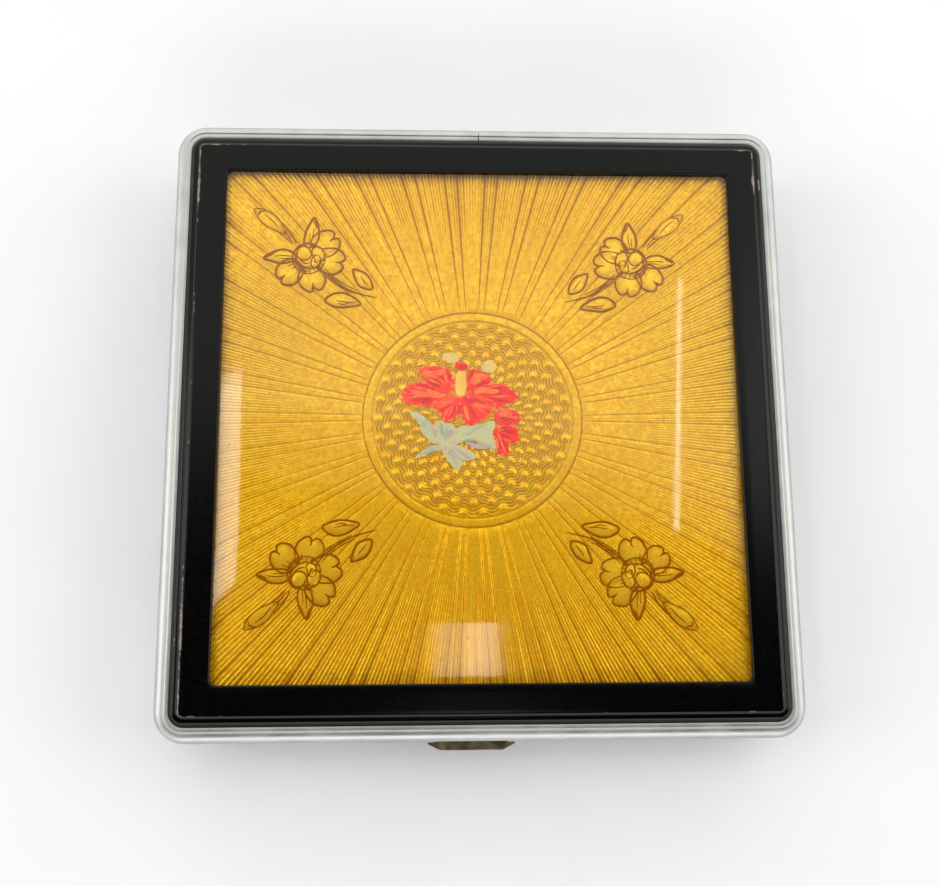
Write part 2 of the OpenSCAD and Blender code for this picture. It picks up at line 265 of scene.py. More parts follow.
def through(points, steps=6, closed=False):
    """A smooth curve through given points (Catmull-Rom)."""
    p = [Vector(q) for q in points]
    n = len(p)
    out = []
    for i in range(n if closed else n - 1):
        a, b, c, d = (p[(i - 1) % n], p[i], p[(i + 1) % n], p[(i + 2) % n]) if closed else (
            p[max(i - 1, 0)], p[i], p[i + 1], p[min(i + 2, n - 1)])
        for s in range(steps):
            t = s / steps
            out.append(0.5 * ((2 * b) + (c - a) * t + (2 * a - 5 * b + 4 * c - d) * t * t
                              + (3 * b - a - 3 * c + d) * t ** 3))
    return out if closed else out + [p[-1]]


def middle_of(points):
    return sum((Vector(p) for p in points), Vector((0, 0))) / len(points)


def pillow(outline, z, rise, rings=6):
    """A low dome over a closed outline of 2D points. Its rim is at z and its crown rise above. It also gives
    how near the rim each point is."""
    centre = middle_of(outline)
    count = len(outline)
    verts, edge = [], []
    for k in range(rings):
        share = 1 - k / rings
        for p in outline:
            q = centre + (Vector(p) - centre) * share
            verts.append((q.x, q.y, z + rise * (1 - share ** CREST)))
            edge.append(share)
    verts.append((centre.x, centre.y, z + rise))
    edge.append(0)
    faces = bridge(rings, True, False, count) + fan_faces((rings - 1) * count, count, len(verts) - 1)
    faces.append(tuple(reversed(range(count))))
    return verts, faces, edge


class Pile:
    """Gathers shapes into one mesh."""

    def __init__(self):
        self.verts, self.faces, self.values = [], [], []

    def add(self, verts, faces, values=()):
        start = len(self.verts)
        self.verts += [Vector(v) for v in verts]
        self.faces += [tuple(start + i for i in f) for f in faces]
        self.values += values

    def piece(self, name, body, slot, material, replaces=(), smooth=60, attribute=None):
        values = {attribute: self.values} if attribute else None
        piece(name, self.verts, self.faces, body, slot, material, replaces, smooth, values)


# ---- Materials ----

class Shader:
    """A node material with short calls for its nodes."""

    def __init__(self, name, **sockets):
        self.material = bpy.data.materials.new(name)
        self.material.use_nodes = True
        self.tree = self.material.node_tree
        self.base = self.tree.nodes["Principled BSDF"]
        self.output = self.tree.nodes["Material Output"]
        for key, value in sockets.items():
            self.base.inputs[key.replace("_", " ")].default_value = value
        self.place = self.tree.nodes.new("ShaderNodeTexCoord").outputs["Object"]

    def node(self, kind, **settings):
        made = self.tree.nodes.new("ShaderNode" + kind)
        for key, value in settings.items():
            setattr(made, key, value)
        return made

    def link(self, source, target):
        self.tree.links.new(source, target)

    def scaled(self, x, y, z):
        mapping = self.node("Mapping")
        mapping.inputs["Scale"].default_value = (x, y, z)
        self.link(self.place, mapping.inputs["Vector"])
        return mapping.outputs["Vector"]

    def noise(self, scale, detail=4.0, rough=0.55, vector=None):
        """Noise whose scale is in features per metre."""
        made = self.node("TexNoise")
        made.inputs["Scale"].default_value = scale
        made.inputs["Detail"].default_value = detail
        made.inputs["Roughness"].default_value = rough
        self.link(vector or self.place, made.inputs["Vector"])
        return made.outputs["Fac"]

    def waves(self, scale, **settings):
        made = self.node("TexWave", **settings)
        made.inputs["Scale"].default_value = scale
        self.link(self.place, made.inputs["Vector"])
        return made.outputs["Fac"]

    def attribute(self, name):
        return self.node("Attribute", attribute_name=name).outputs["Fac"]

    def feed(self, socket, value):
        """Sets a socket to a number or a colour, or links it to another node's output."""
        if isinstance(value, (int, float)):
            socket.default_value = value
        elif isinstance(value, tuple):
            socket.default_value = (*value, 1)
        else:
            self.link(value, socket)

    def math(self, operation, a, b):
        made = self.node("Math", operation=operation)
        self.feed(made.inputs[0], a)
        self.feed(made.inputs[1], b)
        return made.outputs["Value"]

    def add(self, a, b):
        return self.math("ADD", a, b)

    def times(self, a, b):
        return self.math("MULTIPLY", a, b)

    def about(self, middle, a, gain):
        """How far a is from the middle, times gain."""
        return self.times(self.math("SUBTRACT", a, middle), gain)

    def ramp(self, fac, *stops):
        """Colour ramp of (place, colour) stops."""
        made = self.node("ValToRGB")
        elements = made.color_ramp.elements
        while len(elements) < len(stops):
            elements.new(0.5)
        for element, (place, colour) in zip(elements, stops):
            element.position = place
            element.color = (*colour, 1)
        self.link(fac, made.inputs["Fac"])
        return made.outputs["Color"]

    def range(self, fac, low, high, to_low=0.0, to_high=1.0):
        made = self.node("MapRange")
        for socket, value in zip(("From Min", "From Max", "To Min", "To Max"), (low, high, to_low, to_high)):
            made.inputs[socket].default_value = value
        self.link(fac, made.inputs["Value"])
        return made.outputs["Result"]

    def mix(self, fac, a, b):
        """Mixes colours a and b."""
        made = self.node("Mix", data_type="RGBA")
        for socket, value in ((0, fac), (6, a), (7, b)):
            self.feed(made.inputs[socket], value)
        return made.outputs[2]

    def bump(self, height, strength, distance_mm):
        made = self.node("Bump")
        made.inputs["Strength"].default_value = strength
        made.inputs["Distance"].default_value = distance_mm * MM
        self.link(height, made.inputs["Height"])
        self.link(made.outputs["Normal"], self.base.inputs["Normal"])

    def colour(self, source):
        self.link(source, self.base.inputs["Base Color"])

    def rough(self, source):
        self.link(source, self.base.inputs["Roughness"])


def chrome_metal():
    """Satin plate, rubbed soft, with fine handling scratches and dull spots."""
    s = Shader("chrome_plate", Metallic=0.85)
    fine = s.noise(5200, 3, 0.6, s.scaled(0.12, 1.0, 1.0))
    dull = s.noise(260, 5)
    s.colour(s.ramp(dull, (0.3, (0.36, 0.365, 0.36)), (0.62, (0.44, 0.445, 0.44))))
    s.rough(s.add(s.range(fine, 0.35, 0.7, 0.0, 0.08), s.range(dull, 0.35, 0.75, 0.34, 0.46)))
    s.bump(fine, 0.025, 0.02)
    return s.material


def enamel():
    """Gloss black enamel over grey-brown metal, worn through along the shoulder."""
    s = Shader("black_enamel", Specular_IOR_Level=0.175)
    worn = s.attribute("worn")
    patch = s.noise(120, 5, 0.62)
    speck = s.noise(900, 4, 0.6)
    amount = s.add(s.add(worn, s.about(0.5, patch, 1.3)), s.about(0.5, speck, 0.7))
    bare = s.range(amount, 0.66, 0.80)
    metal = s.ramp(speck, (0.3, (0.10, 0.075, 0.06)), (0.7, (0.24, 0.19, 0.16)))
    grain = s.noise(2600, 3)
    black = s.ramp(grain, (0.3, (0.0004, 0.0004, 0.0005)), (0.7, (0.0012, 0.0012, 0.0013)))
    s.colour(s.mix(bare, black, metal))
    s.rough(s.add(s.range(grain, 0.3, 0.7, 0.15, 0.21), s.times(bare, 0.3)))
    s.link(s.times(bare, 0.7), s.base.inputs["Metallic"])
    s.bump(s.math("SUBTRACT", s.times(grain, 0.05), bare), 0.35, 0.03)
    return s.material


def gilt(name="gilt_plate", light=(0.98, 0.57, 0.025), dark=(0.27, 0.085, 0.003), shine=0.57):
    """Gilt foil with a fine mottled grain, darker where its cut attribute, 0 to 1, is high; that darkness is
    partly the dark of the cuts and partly painted shade.
    """
    s = Shader(name, Metallic=shine, Specular_IOR_Level=0.0)
    cut_and_shade = s.attribute("cut")
    tone = s.noise(60, 4, 0.5)
    grain = s.noise(1900, 1, 0.6)
    gold = s.mix(s.range(tone, 0.35, 0.65), light, tuple(c * 0.93 for c in light))
    gold = s.mix(s.range(grain, 0.36, 0.64), gold, (0.83 * light[0], 0.68 * light[1], 0.5 * light[2]))
    s.colour(s.mix(s.times(cut_and_shade, 0.9), gold, dark))
    s.rough(s.add(s.range(grain, 0.3, 0.7, 0.24, 0.36), s.times(cut_and_shade, 0.12)))
    s.bump(grain, 0.06, 0.02)
    return s.material


def brass(name, colour, roughness=0.28, lines=0):
    """Satin gilt brass with a fine grain; lines above 0 adds turned rings about the Z axis."""
    s = Shader(name, Metallic=1.0)
    grain = s.noise(3000, 4, 0.6)
    stain_and_shade = s.noise(90, 5, 0.6)
    s.colour(s.mix(s.range(stain_and_shade, 0.45, 0.8, 0.0, 0.7), colour, tuple(c * 0.62 for c in colour)))
    satin_finish = s.range(grain, 0.3, 0.7, roughness - 0.06, roughness + 0.07)
    s.rough(s.add(satin_finish, s.range(stain_and_shade, 0.4, 0.8, 0, 0.1)))
    if lines:
        rings = s.waves(lines, wave_type="RINGS", rings_direction="Z")
        s.bump(s.add(rings, s.times(grain, 0.5)), 0.18, 0.02)
    else:
        s.bump(grain, 0.15, 0.02)
    return s.material


def steel():
    s = Shader("drawn_steel", Metallic=1.0)
    drawn = s.noise(4000, 3, 0.6, s.scaled(0.05, 1.0, 1.0))
    s.colour(s.ramp(drawn, (0.3, (0.30, 0.30, 0.31)), (0.7, (0.52, 0.52, 0.53))))
    s.rough(s.range(drawn, 0.3, 0.7, 0.22, 0.36))
    s.bump(drawn, 0.2, 0.02)
    return s.material


def catch_metal():
    """Plate on the thumb tab, painted dark for the shade under the rim and the dark it reflects, and rubbed
    back to brass in places.
    """
    s = Shader("catch_metal", Metallic=1.0)
    rub = s.noise(700, 5, 0.6)
    s.colour(s.ramp(rub, (0.40, (0.10, 0.085, 0.06)), (0.62, (0.26, 0.21, 0.13)), (0.75, (0.45, 0.36, 0.2))))
    s.rough(s.range(rub, 0.3, 0.7, 0.42, 0.3))
    s.bump(rub, 0.2, 0.03)
    return s.material


def clear_plastic():
    """Thin clear cover: light goes straight through it, and it reflects by Fresnel on its outer side."""
    s = Shader("clear_plastic")
    tree = s.tree
    tree.nodes.remove(s.base)
    through_it = s.node("BsdfTransparent")
    through_it.inputs["Color"].default_value = (0.985, 0.98, 0.965, 1)
    gloss = s.node("BsdfGlossy")
    gloss.inputs["Color"].default_value = (1, 1, 1, 1)
    haze = s.noise(320, 4)
    s.link(s.range(haze, 0.3, 0.7, 0.045, 0.07), gloss.inputs["Roughness"])
    fresnel = s.node("Fresnel")
    fresnel.inputs["IOR"].default_value = 1.49
    outside = s.math("SUBTRACT", 1.0, s.node("NewGeometry").outputs["Backfacing"])
    mixed = s.node("MixShader")
    s.link(s.times(fresnel.outputs["Fac"], outside), mixed.inputs["Fac"])
    s.link(through_it.outputs["BSDF"], mixed.inputs[1])
    s.link(gloss.outputs["BSDF"], mixed.inputs[2])
    s.link(mixed.outputs["Shader"], s.output.inputs["Surface"])
    return s.material


def mirror():
    s = Shader("mirror_glass", Metallic=1.0)
    haze = s.noise(60, 4)
    s.colour(s.ramp(haze, (0.3, (0.86, 0.88, 0.88)), (0.7, (0.92, 0.935, 0.93))))
    s.rough(s.range(haze, 0.45, 0.8, 0.0, 0.05))
    return s.material


def paint(name, stops, scale=420):
    """Hand-painted colour, brushed unevenly and worn off in specks at the edges of its strokes.
    Its edge attribute is 1 at the edge of a stroke."""
    s = Shader(name, Roughness=0.4, Specular_IOR_Level=0.15)
    brush = s.noise(scale, 5, 0.7, s.scaled(1.0, 0.6, 1.0))
    speck = s.noise(2100, 4, 0.7)
    edge = s.attribute("edge")
    colour = s.ramp(s.add(s.times(brush, 0.8), s.times(speck, 0.2)), *stops)
    bare = s.range(s.add(edge, s.about(0.5, speck, 1.5)), 0.93, 1.15)
    s.colour(s.mix(bare, colour, (0.85, 0.48, 0.07)))
    s.bump(s.add(brush, s.times(speck, 0.4)), 0.5, 0.04)
    return s.material


def powder():
    s = Shader("face_powder", Roughness=0.95)
    lump = s.noise(900, 6, 0.7)
    s.colour(s.ramp(lump, (0.3, (0.66, 0.44, 0.32)), (0.7, (0.82, 0.62, 0.49))))
    s.bump(lump, 0.6, 0.08)
    return s.material


def velour():
    """Short pile of the puff, with a soft edge sheen."""
    s = Shader("velour", Roughness=0.95, Sheen_Weight=0.6, Sheen_Roughness=0.4)
    pile = s.noise(2600, 5, 0.75)
    tone = s.noise(140, 4)
    pink = s.ramp(pile, (0.3, (0.66, 0.40, 0.35)), (0.7, (0.86, 0.62, 0.56)))
    s.colour(s.mix(s.range(tone, 0.4, 0.7, 0.0, 0.5), pink, (0.84, 0.66, 0.58)))
    s.bump(pile, 0.8, 0.12)
    return s.material


def satin():
    """Woven satin: fine crossed threads, with a sheen along the warp."""
    s = Shader("satin_ribbon", Roughness=0.38, Sheen_Weight=0.3, Anisotropic=0.6)
    warp = s.waves(2400, wave_type="BANDS", bands_direction="X")
    weft = s.waves(900, wave_type="BANDS", bands_direction="Y")
    s.colour(s.ramp(s.noise(300, 3), (0.3, (0.55, 0.20, 0.20)), (0.7, (0.68, 0.30, 0.29))))
    s.bump(s.add(warp, s.times(weft, 0.5)), 0.3, 0.03)
    return s.material


def gauze_thread():
    s = Shader("gauze_thread", Roughness=0.6)
    s.colour(s.ramp(s.noise(2500, 3), (0.3, (0.60, 0.54, 0.44)), (0.7, (0.80, 0.75, 0.64))))
    return s.material


CHROME = chrome_metal()
ENAMEL = enamel()
GILT = gilt()
CUT_LINE = gilt("engraved_line", (0.34, 0.115, 0.004), (0.2, 0.06, 0.002), 0.4)
PETAL = gilt("engraved_petal", (1.0, 0.62, 0.035), (0.42, 0.15, 0.005))
INNER = brass("inner_gilt", (0.86, 0.63, 0.28))
DOOR = brass("door_gilt", (0.90, 0.67, 0.30), 0.22, 650)
STEEL = steel()
CATCH = catch_metal()
CLEAR = clear_plastic()
MIRROR = mirror()


# ---- Rims ----

def rim_profile(lip, edge, up):
    """Section of a rim: its lip, the large bead, a plain band and the small bead at the parting line."""
    bead_r, small_r = 1.3, 0.45
    bead_x = RIM_HALF - bead_r
    band = RIM_HALF - 0.25
    turn = math.degrees(math.acos((band - bead_x) / bead_r))
    small_turn = math.degrees(math.acos((band - RIM_HALF + small_r) / small_r))
    points = [(LIP_HALF, lip - 0.6 * up), (LIP_HALF, lip - 0.1 * up), (LIP_HALF + 0.03, lip - 0.03 * up),
              (LIP_HALF + 0.1, lip), (bead_x - 0.2, lip), (bead_x - 0.1, lip - 0.03 * up),
              (bead_x, lip - 0.09 * up)]
    bead = arc(bead_x, 0, bead_r, 84, -turn, 18)
    points += [(x, lip - up * bead_r + up * z) for x, z in bead]
    small = arc(RIM_HALF - small_r, 0, small_r, small_turn, -90, 12)
    points += [(x, edge + up * small_r + up * z) for x, z in small]
    return points + [(WALL_HALF, edge), (WALL_HALF, lip - 0.6 * up)]


def hinge_channel():
    """Room for the hinge's barrels in the rims, as a rod along X."""
    hinge = next(j for j in frame["joints"] if j["name"] == "lid_hinge")["pos_m"]
    leaf_low, leaf_high = box_mm("lid_hinge_leaf")
    room, play = 1.45, 0.2         # radius of the rod, and how far it passes the leaf's ends
    ring = arc(hinge[1] / MM, hinge[2] / MM, room, 0, 345, 23)
    ends = (leaf_low.x - play, leaf_high.x + play)
    verts = [(x, y, z) for x in ends for y, z in ring]
    n = len(ring)
    return verts, join(0, n, n) + [tuple(reversed(range(n))), tuple(range(n, 2 * n))]


def make_rims():
    """Both rims: strips bent round the case, with room for the hinge and the thumb tab."""
    seam = 0.12                    # the gap where a strip's ends meet at the back
    strip = swept(rim_profile(LIP_Z, rim_low.z, 1), seam)
    lid = piece("lid_rim_strip", *strip, "lid", "rim_metal", CHROME, ["lid_rim"])
    cut(lid, hinge_channel())
    strip = swept(rim_profile(base_low.z, base_high.z, -1), seam)
    base = piece("base_rim_strip", *strip, "base", "rim_metal", CHROME, ["base_rim"])
    tab_low, tab_high = box_mm("thumb_catch")
    middle, stem = (tab_low.x + tab_high.x) / 2, 4.6        # the tab's stem is narrower than the tab
    front, bottom, top = -RIM_HALF - 1, tab_low.z - 0.1, tab_high.z + 0.1
    slot = box_mesh((middle - stem, front, bottom), (middle + stem, -WALL_HALF + 1, top))
    relief = box_mesh((tab_low.x - 0.2, front, bottom), (tab_high.x + 0.2, -RIM_HALF + 0.25, top))
    cut(base, hinge_channel(), slot, relief)
    for obj in (lid, base):
        shade(obj.data, 35)


# ---- Enamelled faces ----

def shoulder(lip, rise, up):
    """Loops of a pressed face, from its flange over its stepped shoulder to its plateau, and their wear."""
    out, drawn_rise = LIP_HALF - 0.05, 0.9
    # Inset from the lip's edge, height above the lip and wear
    steps = [(-0.95, -0.6, 0), (0, -0.6, 0), (0, -0.05, 0.05), (0.03, 0.08, 0.1), (0.10, 0.20, 0.2),
             (0.20, 0.34, 0.3), (0.33, 0.47, 0.42), (0.45, 0.555, 0.42), (0.60, 0.61, 0.3),
             (0.80, 0.635, 0.2), (0.93, 0.66, 0.25), (1.02, 0.72, 0.42), (1.12, 0.80, 0.60),
             (1.22, 0.865, 0.66), (1.36, 0.893, 0.50), (1.55, 0.9, 0.15)]
    loops = []
    for inset, height, worn in steps:
        half = out - inset
        z = lip + up * height * (rise / drawn_rise if height > 0 else 1)
        loops.append((half, max(0.4, half - CORNER_C), z, worn))
    return loops


def make_panel():
    """The lid's black face: the shoulder, the flat border and the turned-in edge of its window."""
    loops = shoulder(LIP_Z, BORDER_Z - LIP_Z, 1)
    loops.append((CORNER_C, 0.55, BORDER_Z, 0.0))
    for k in range(1, 4):
        half = CORNER_C + (WINDOW_HALF + 0.2 - CORNER_C) * k / 3
        loops.append((half, 0.6 + 0.1 * k, BORDER_Z, 0.0))
    for x, z in arc(WINDOW_HALF + 0.2, BORDER_Z - 0.2, 0.2, 90, 180, 5)[1:]:
        loops.append((x, 0.8, z, 0.16))
    loops.append((WINDOW_HALF, 0.8, BORDER_Z - SHEET, 0.0))
    flange_z = LIP_Z - 1.15
    inner = LIP_HALF - 0.1 - SHEET
    loops += [(CORNER_C + 0.3, 0.6, BORDER_Z - SHEET, 0), (inner, inner - CORNER_C, LIP_Z - 0.1, 0),
              (inner, inner - CORNER_C, flange_z, 0), (FLANGE_HALF, FLANGE_HALF - CORNER_C, flange_z, 0)]
    verts, worn = face_points(loops)
    faces = bridge(len(loops), True, True, len(verts) // len(loops))
    piece("lid_face", verts, faces, "lid", "black_enamel", ENAMEL, ["lid_panel"], 50, {"worn": worn})


def make_pan():
    """The base's black face, with a plain pressed panel."""
    loops = shoulder(base_low.z, base_low.z - pan_low.z, -1)
    recess, edge = 0.2, 30         # depth of the pressed panel, and where it starts
    loops += [(CORNER_C, 0.55, 0.0, 0.0), (edge, 1.2, 0.0, 0.02), (edge - 0.4, 1.2, 0.05, 0.1),
              (edge - 0.8, 1.2, 0.16, 0.02), (edge - 1.4, 1.2, recess, 0.0), (20, 3, recess, 0.0),
              (8, 3, recess, 0.0)]
    verts, worn = face_points(loops)
    count = len(verts) // len(loops)
    verts.append((0, 0, recess))
    worn.append(0)
    faces = bridge(len(loops), True, False, count)
    faces += fan_faces((len(loops) - 1) * count, count, len(verts) - 1)
    # Inner skin
    start = len(verts)
    inner = LIP_HALF - 0.05 - SHEET
    skin = [(FLANGE_HALF, FLANGE_HALF - CORNER_C, pan_high.z), (inner, inner - CORNER_C, pan_high.z),
            (inner, inner - CORNER_C, base_low.z), (CORNER_C, 0.5, SHEET), (8, 3, SHEET)]
    more, more_faces = lofted(skin)
    verts += more
    worn += [0] * len(more)
    faces += [tuple(start + i for i in f) for f in more_faces] + join(0, start, count)
    piece("base_face", verts, faces, "base", "black_enamel", ENAMEL, ["base_pan"], 50, {"worn": worn})


def face_points(loops):
    """Points of an enamelled face's loops, and how worn the enamel is at each."""
    verts, worn = [], []
    for half, r, z, wear in loops:
        for x, y in square_loop(half, r):
            # The corners and the left side are rubbed most
            corner = max(0.0, min(1.0, (abs(x) + abs(y) - 1.7 * half) / (0.2 * half)))
            left = 0.28 if x < -0.9 * half else 0.0
            verts.append((x, y, z))
            worn.append(wear * (0.72 + 0.22 * corner + left))
    return verts, worn


# ---- Gilt plate ----

GROOVES, PER_GROUP = 494, 13       # fine cuts round the circle, and how many make one repeat
FIRST_GROOVE = math.radians(8)
DEEP = (0, 4)                      # the cuts of each repeat that go deep


def groove_table():
    """Depth, width, darkness of each cut, and whether it goes deep."""
    rows = []
    for i in range(GROOVES):
        deep = i % PER_GROUP in DEEP
        depth = 0.090 * draw.uniform(0.8, 1.15) if deep else 0.058 * draw.uniform(0.6, 1.2)
        rows.append((depth, 0.70 if deep else 0.48, 1.0 if deep else 0.50 * draw.uniform(0.5, 1.4), deep))
    return rows


def run_to(edge, start, slope):
    """How far a ray runs before its coordinate, which grows by slope from start, meets the edge."""
    if abs(slope) < 1e-6:
        return 1e9
    return (math.copysign(edge, slope) - start) / slope


def make_rays():
    """The sunburst: straight cuts from the medallion's ring to the plate's edge."""
    table = groove_table()
    per = 6                        # points across each cut
    columns = GROOVES * per
    shares = [0, 0.015, 0.05, 0.1, 0.17, 0.25, 0.34, 0.44, 0.54, 0.64, 0.74, 0.83, 0.90, 0.95, 1.0]
    edge_half = WINDOW_HALF + 1.7
    inner = MEDAL_R + 0.12
    verts, cut_and_shade_dark = [], []
    for share in shares:
        for c in range(columns):
            angle = FIRST_GROOVE + c * math.tau / columns
            ca, sa = math.cos(angle), math.sin(angle)
            # Painted shade darkens the cuts that run to the back; those at the sides are painted lighter
            stain_and_shade = 1.0 + 0.30 * max(0.0, sa) - 0.75 * ca * ca
            reach = min(run_to(edge_half, MEDAL.x, ca), run_to(edge_half, MEDAL.y, sa))
            r = inner + (reach - inner) * share
            x, y = MEDAL.x + r * ca, MEDAL.y + r * sa
            depth = dark = 0.0
            near = c // per
            for i in (near - 1, near, near + 1):
                d, w, k, deep = table[i % GROOVES]
                away = abs(c / per - i)
                fade = min(1.0, (r - inner) / 2.0 + 0.45) if deep else min(1.0, max(0.0, (r - 15.5) / 12.0))
                level = max(0.0, 1 - away / w) * fade
                depth = max(depth, d * level)
                dark = max(dark, stain_and_shade * k * level * (0.6 + 0.4 * min(1.0, r / 26)))
            # The plate is bent down under the window's edge, and drawn darker there
            to_edge = WINDOW_HALF - max(abs(x), abs(y))
            if to_edge < 0.7:
                dark += (0.12 + 1.2 * dark) * min(1.0, (0.7 - to_edge) / 0.6)
            dip = 0.06 * max(0.0, 1 - max(0.0, to_edge) / 0.6) ** 2
            ring = 0.0 if share else 0.03
            verts.append((x, y, FOIL_Z - depth * (1 - 0.35 * ca * ca) * min(1.3, 0.55 + r / 45) - dip - ring))
            cut_and_shade_dark.append(min(1.0, dark))
    faces = bridge(len(shares), True, False, columns)
    piece("sunburst", verts, faces, "lid", "gilt", GILT, ["foil_plate"], 180, {"cut": cut_and_shade_dark})


def make_medallion():
    """Round medallion: a plain ring between two fine grooves round a field of small bumps in waved rows."""
    around, rings = 640, 110
    bumps, row = 30, 2.3           # bumps in each circle, and the distance between circles
    verts, cut_and_shade_dark = [], []
    field_r = 12.2
    for k in range(1, rings + 1):
        r = (MEDAL_R + 0.12) * (k / rings)
        for i in range(around):
            angle = math.tau * i / around
            z, dark = 0.0, 0.0
            if r < field_r:
                calm = min(1.0, (field_r - r) / 0.5) * min(1.0, r / 1.5)
                wave = r + 0.22 * math.cos(bumps * angle)
                corn = abs(math.cos(bumps * angle) + math.cos(math.tau * r / row)) / 2
                lines = math.sin(math.tau * wave / 0.42)
                z = (-0.05 + 0.15 * corn ** 3.5 + 0.020 * lines) * calm
                # Painted shade in the hollows between the bumps; the waved lines are darkened too
                dark = calm * max(0.0, min(1.0, 0.46 - 0.85 * corn ** 2.4 + 0.36 * lines))
            for groove, wide, deep in ((MEDAL_R, 0.17, 1.0), (field_r, 0.15, 0.6)):
                near = max(0.0, 1 - abs(r - groove) / wide)
                z -= 0.06 * near
                dark = max(dark, deep * near)
            verts.append((MEDAL.x + r * math.cos(angle), MEDAL.y + r * math.sin(angle), FOIL_Z + z))
            cut_and_shade_dark.append(dark)
    faces = bridge(rings, True, False, around)
    verts.append((MEDAL.x, MEDAL.y, FOIL_Z - 0.03))
    cut_and_shade_dark.append(0.1)
    faces += [face[::-1] for face in fan_faces(0, around, len(verts) - 1)]
    piece("medallion", verts, faces, "lid", "gilt", GILT, (), 180, {"cut": cut_and_shade_dark})


# One spray, drawn along u, which points to the corner, and v, across it.
ROUND_PETAL = [(1.3, 0.0), (1.4, 1.05), (2.4, 1.62), (3.5, 1.55), (4.25, 1.05), (4.5, 0.45), (4.15, 0.02),
               (4.55, -0.40), (4.35, -1.05), (3.5, -1.60), (2.4, -1.55), (1.4, -1.05)]
SEPAL = [(1.2, 0.0), (1.8, 0.75), (2.8, 1.0), (3.9, 0.75), (5.25, 0.0), (4.1, -0.55), (2.9, -0.75),
         (1.8, -0.6)]
BUD = [(4.0, 0.35), (5.2, 0.85), (6.5, 1.0), (7.9, 0.75), (9.1, -0.1), (8.1, -0.65), (6.7, -0.75),
       (5.3, -0.35)]
LEAF_A = [(-8.7, 2.8), (-8.0, 3.5), (-6.7, 3.75), (-5.2, 3.1), (-6.1, 2.4), (-7.4, 2.05)]
LEAF_B = [(-9.0, 0.6), (-8.3, -0.7), (-7.3, -1.75), (-5.7, -2.3), (-5.75, -0.9), (-6.9, 0.2)]
STEM = [(-2.6, 0.3), (-3.9, 0.25), (-5.5, 0.5), (-7.5, 1.1), (-9.9, 2.5)]
# Strokes: half width, height above the plate, points
SEPAL_STROKES = [(0.06, 0.06, [(1.6, 0.1), (2.9, 0.22), (4.0, 0.12)]),
                 (0.05, 0.06, [(1.6, -0.12), (2.5, -0.12), (3.3, -0.2)]),
                 (0.11, 0.03, [(4.0, 0.5), (4.5, 0.25), (5.0, 0.0)])]
BUD_STROKES = [(0.08, 0.02, [(2.2, 0.35), (3.2, 0.75), (4.4, 0.9), (5.4, 1.0)]),
               (0.07, 0.02, [(2.4, -0.05), (3.6, 0.0), (4.7, -0.15)]),
               (0.06, 0.02, [(2.6, 0.2), (3.8, 0.35), (4.9, 0.25)]),
               (0.06, 0.06, [(5.0, 0.2), (6.4, 0.35), (7.7, 0.2)]),
               (0.08, 0.05, [(7.9, 0.6), (8.3, 0.0), (8.1, -0.5)])]
LEAF_PARTS = [(LEAF_A, [(0.06, 0.06, [(-8.0, 2.85), (-7.2, 2.9), (-6.4, 3.05)]),
                        (0.12, 0.05, [(-5.3, 3.1), (-5.5, 2.75), (-6.0, 2.5)])]),
              (LEAF_B, [(0.06, 0.06, [(-8.4, 0.2), (-7.6, -0.6), (-6.6, -1.3)]),
                        (0.06, 0.06, [(-8.0, -0.2), (-7.6, -0.95), (-7.0, -1.4)])])]
HEART_STROKES = [(0.08, 0.1, [(0.9, -1.0), (-0.2, -1.15), (-1.2, -0.85), (-1.8, -0.2)]),
                 (0.07, 0.11, [(0.5, -0.75), (-0.3, -0.7), (-0.9, -0.35)]),
                 (0.07, 0.09, [(0.9, -1.4), (-0.4, -1.55), (-1.5, -1.2)]),
                 (0.10, 0.13, [(-1.5, 0.5), (-1.2, 0.35), (-0.95, 0.5)])]
# Petals of the heart: middle, half sizes and lean
FOLDS = (((-0.75, 1.35), 1.0, 0.72, 20), ((0.55, 0.15), 0.95, 0.85, 0), ((-1.25, 0.45), 0.85, 0.55, 60))
ROUND_AT = ((99, 0.1), (144, 0.5), (-150, 0.0), (-90, -0.5))    # angle and how far out
SEPAL_AT = (52, -48)
SPRAY_AT = ((20.3, 20.0), (-20.5, 20.4), (-20.3, -18.8), (19.8, -19.1))


def spun(points, degrees, scale=1.0):
    ca, sa = math.cos(math.radians(degrees)), math.sin(math.radians(degrees))
    return [(scale * (x * ca - y * sa), scale * (x * sa + y * ca)) for x, y in points]


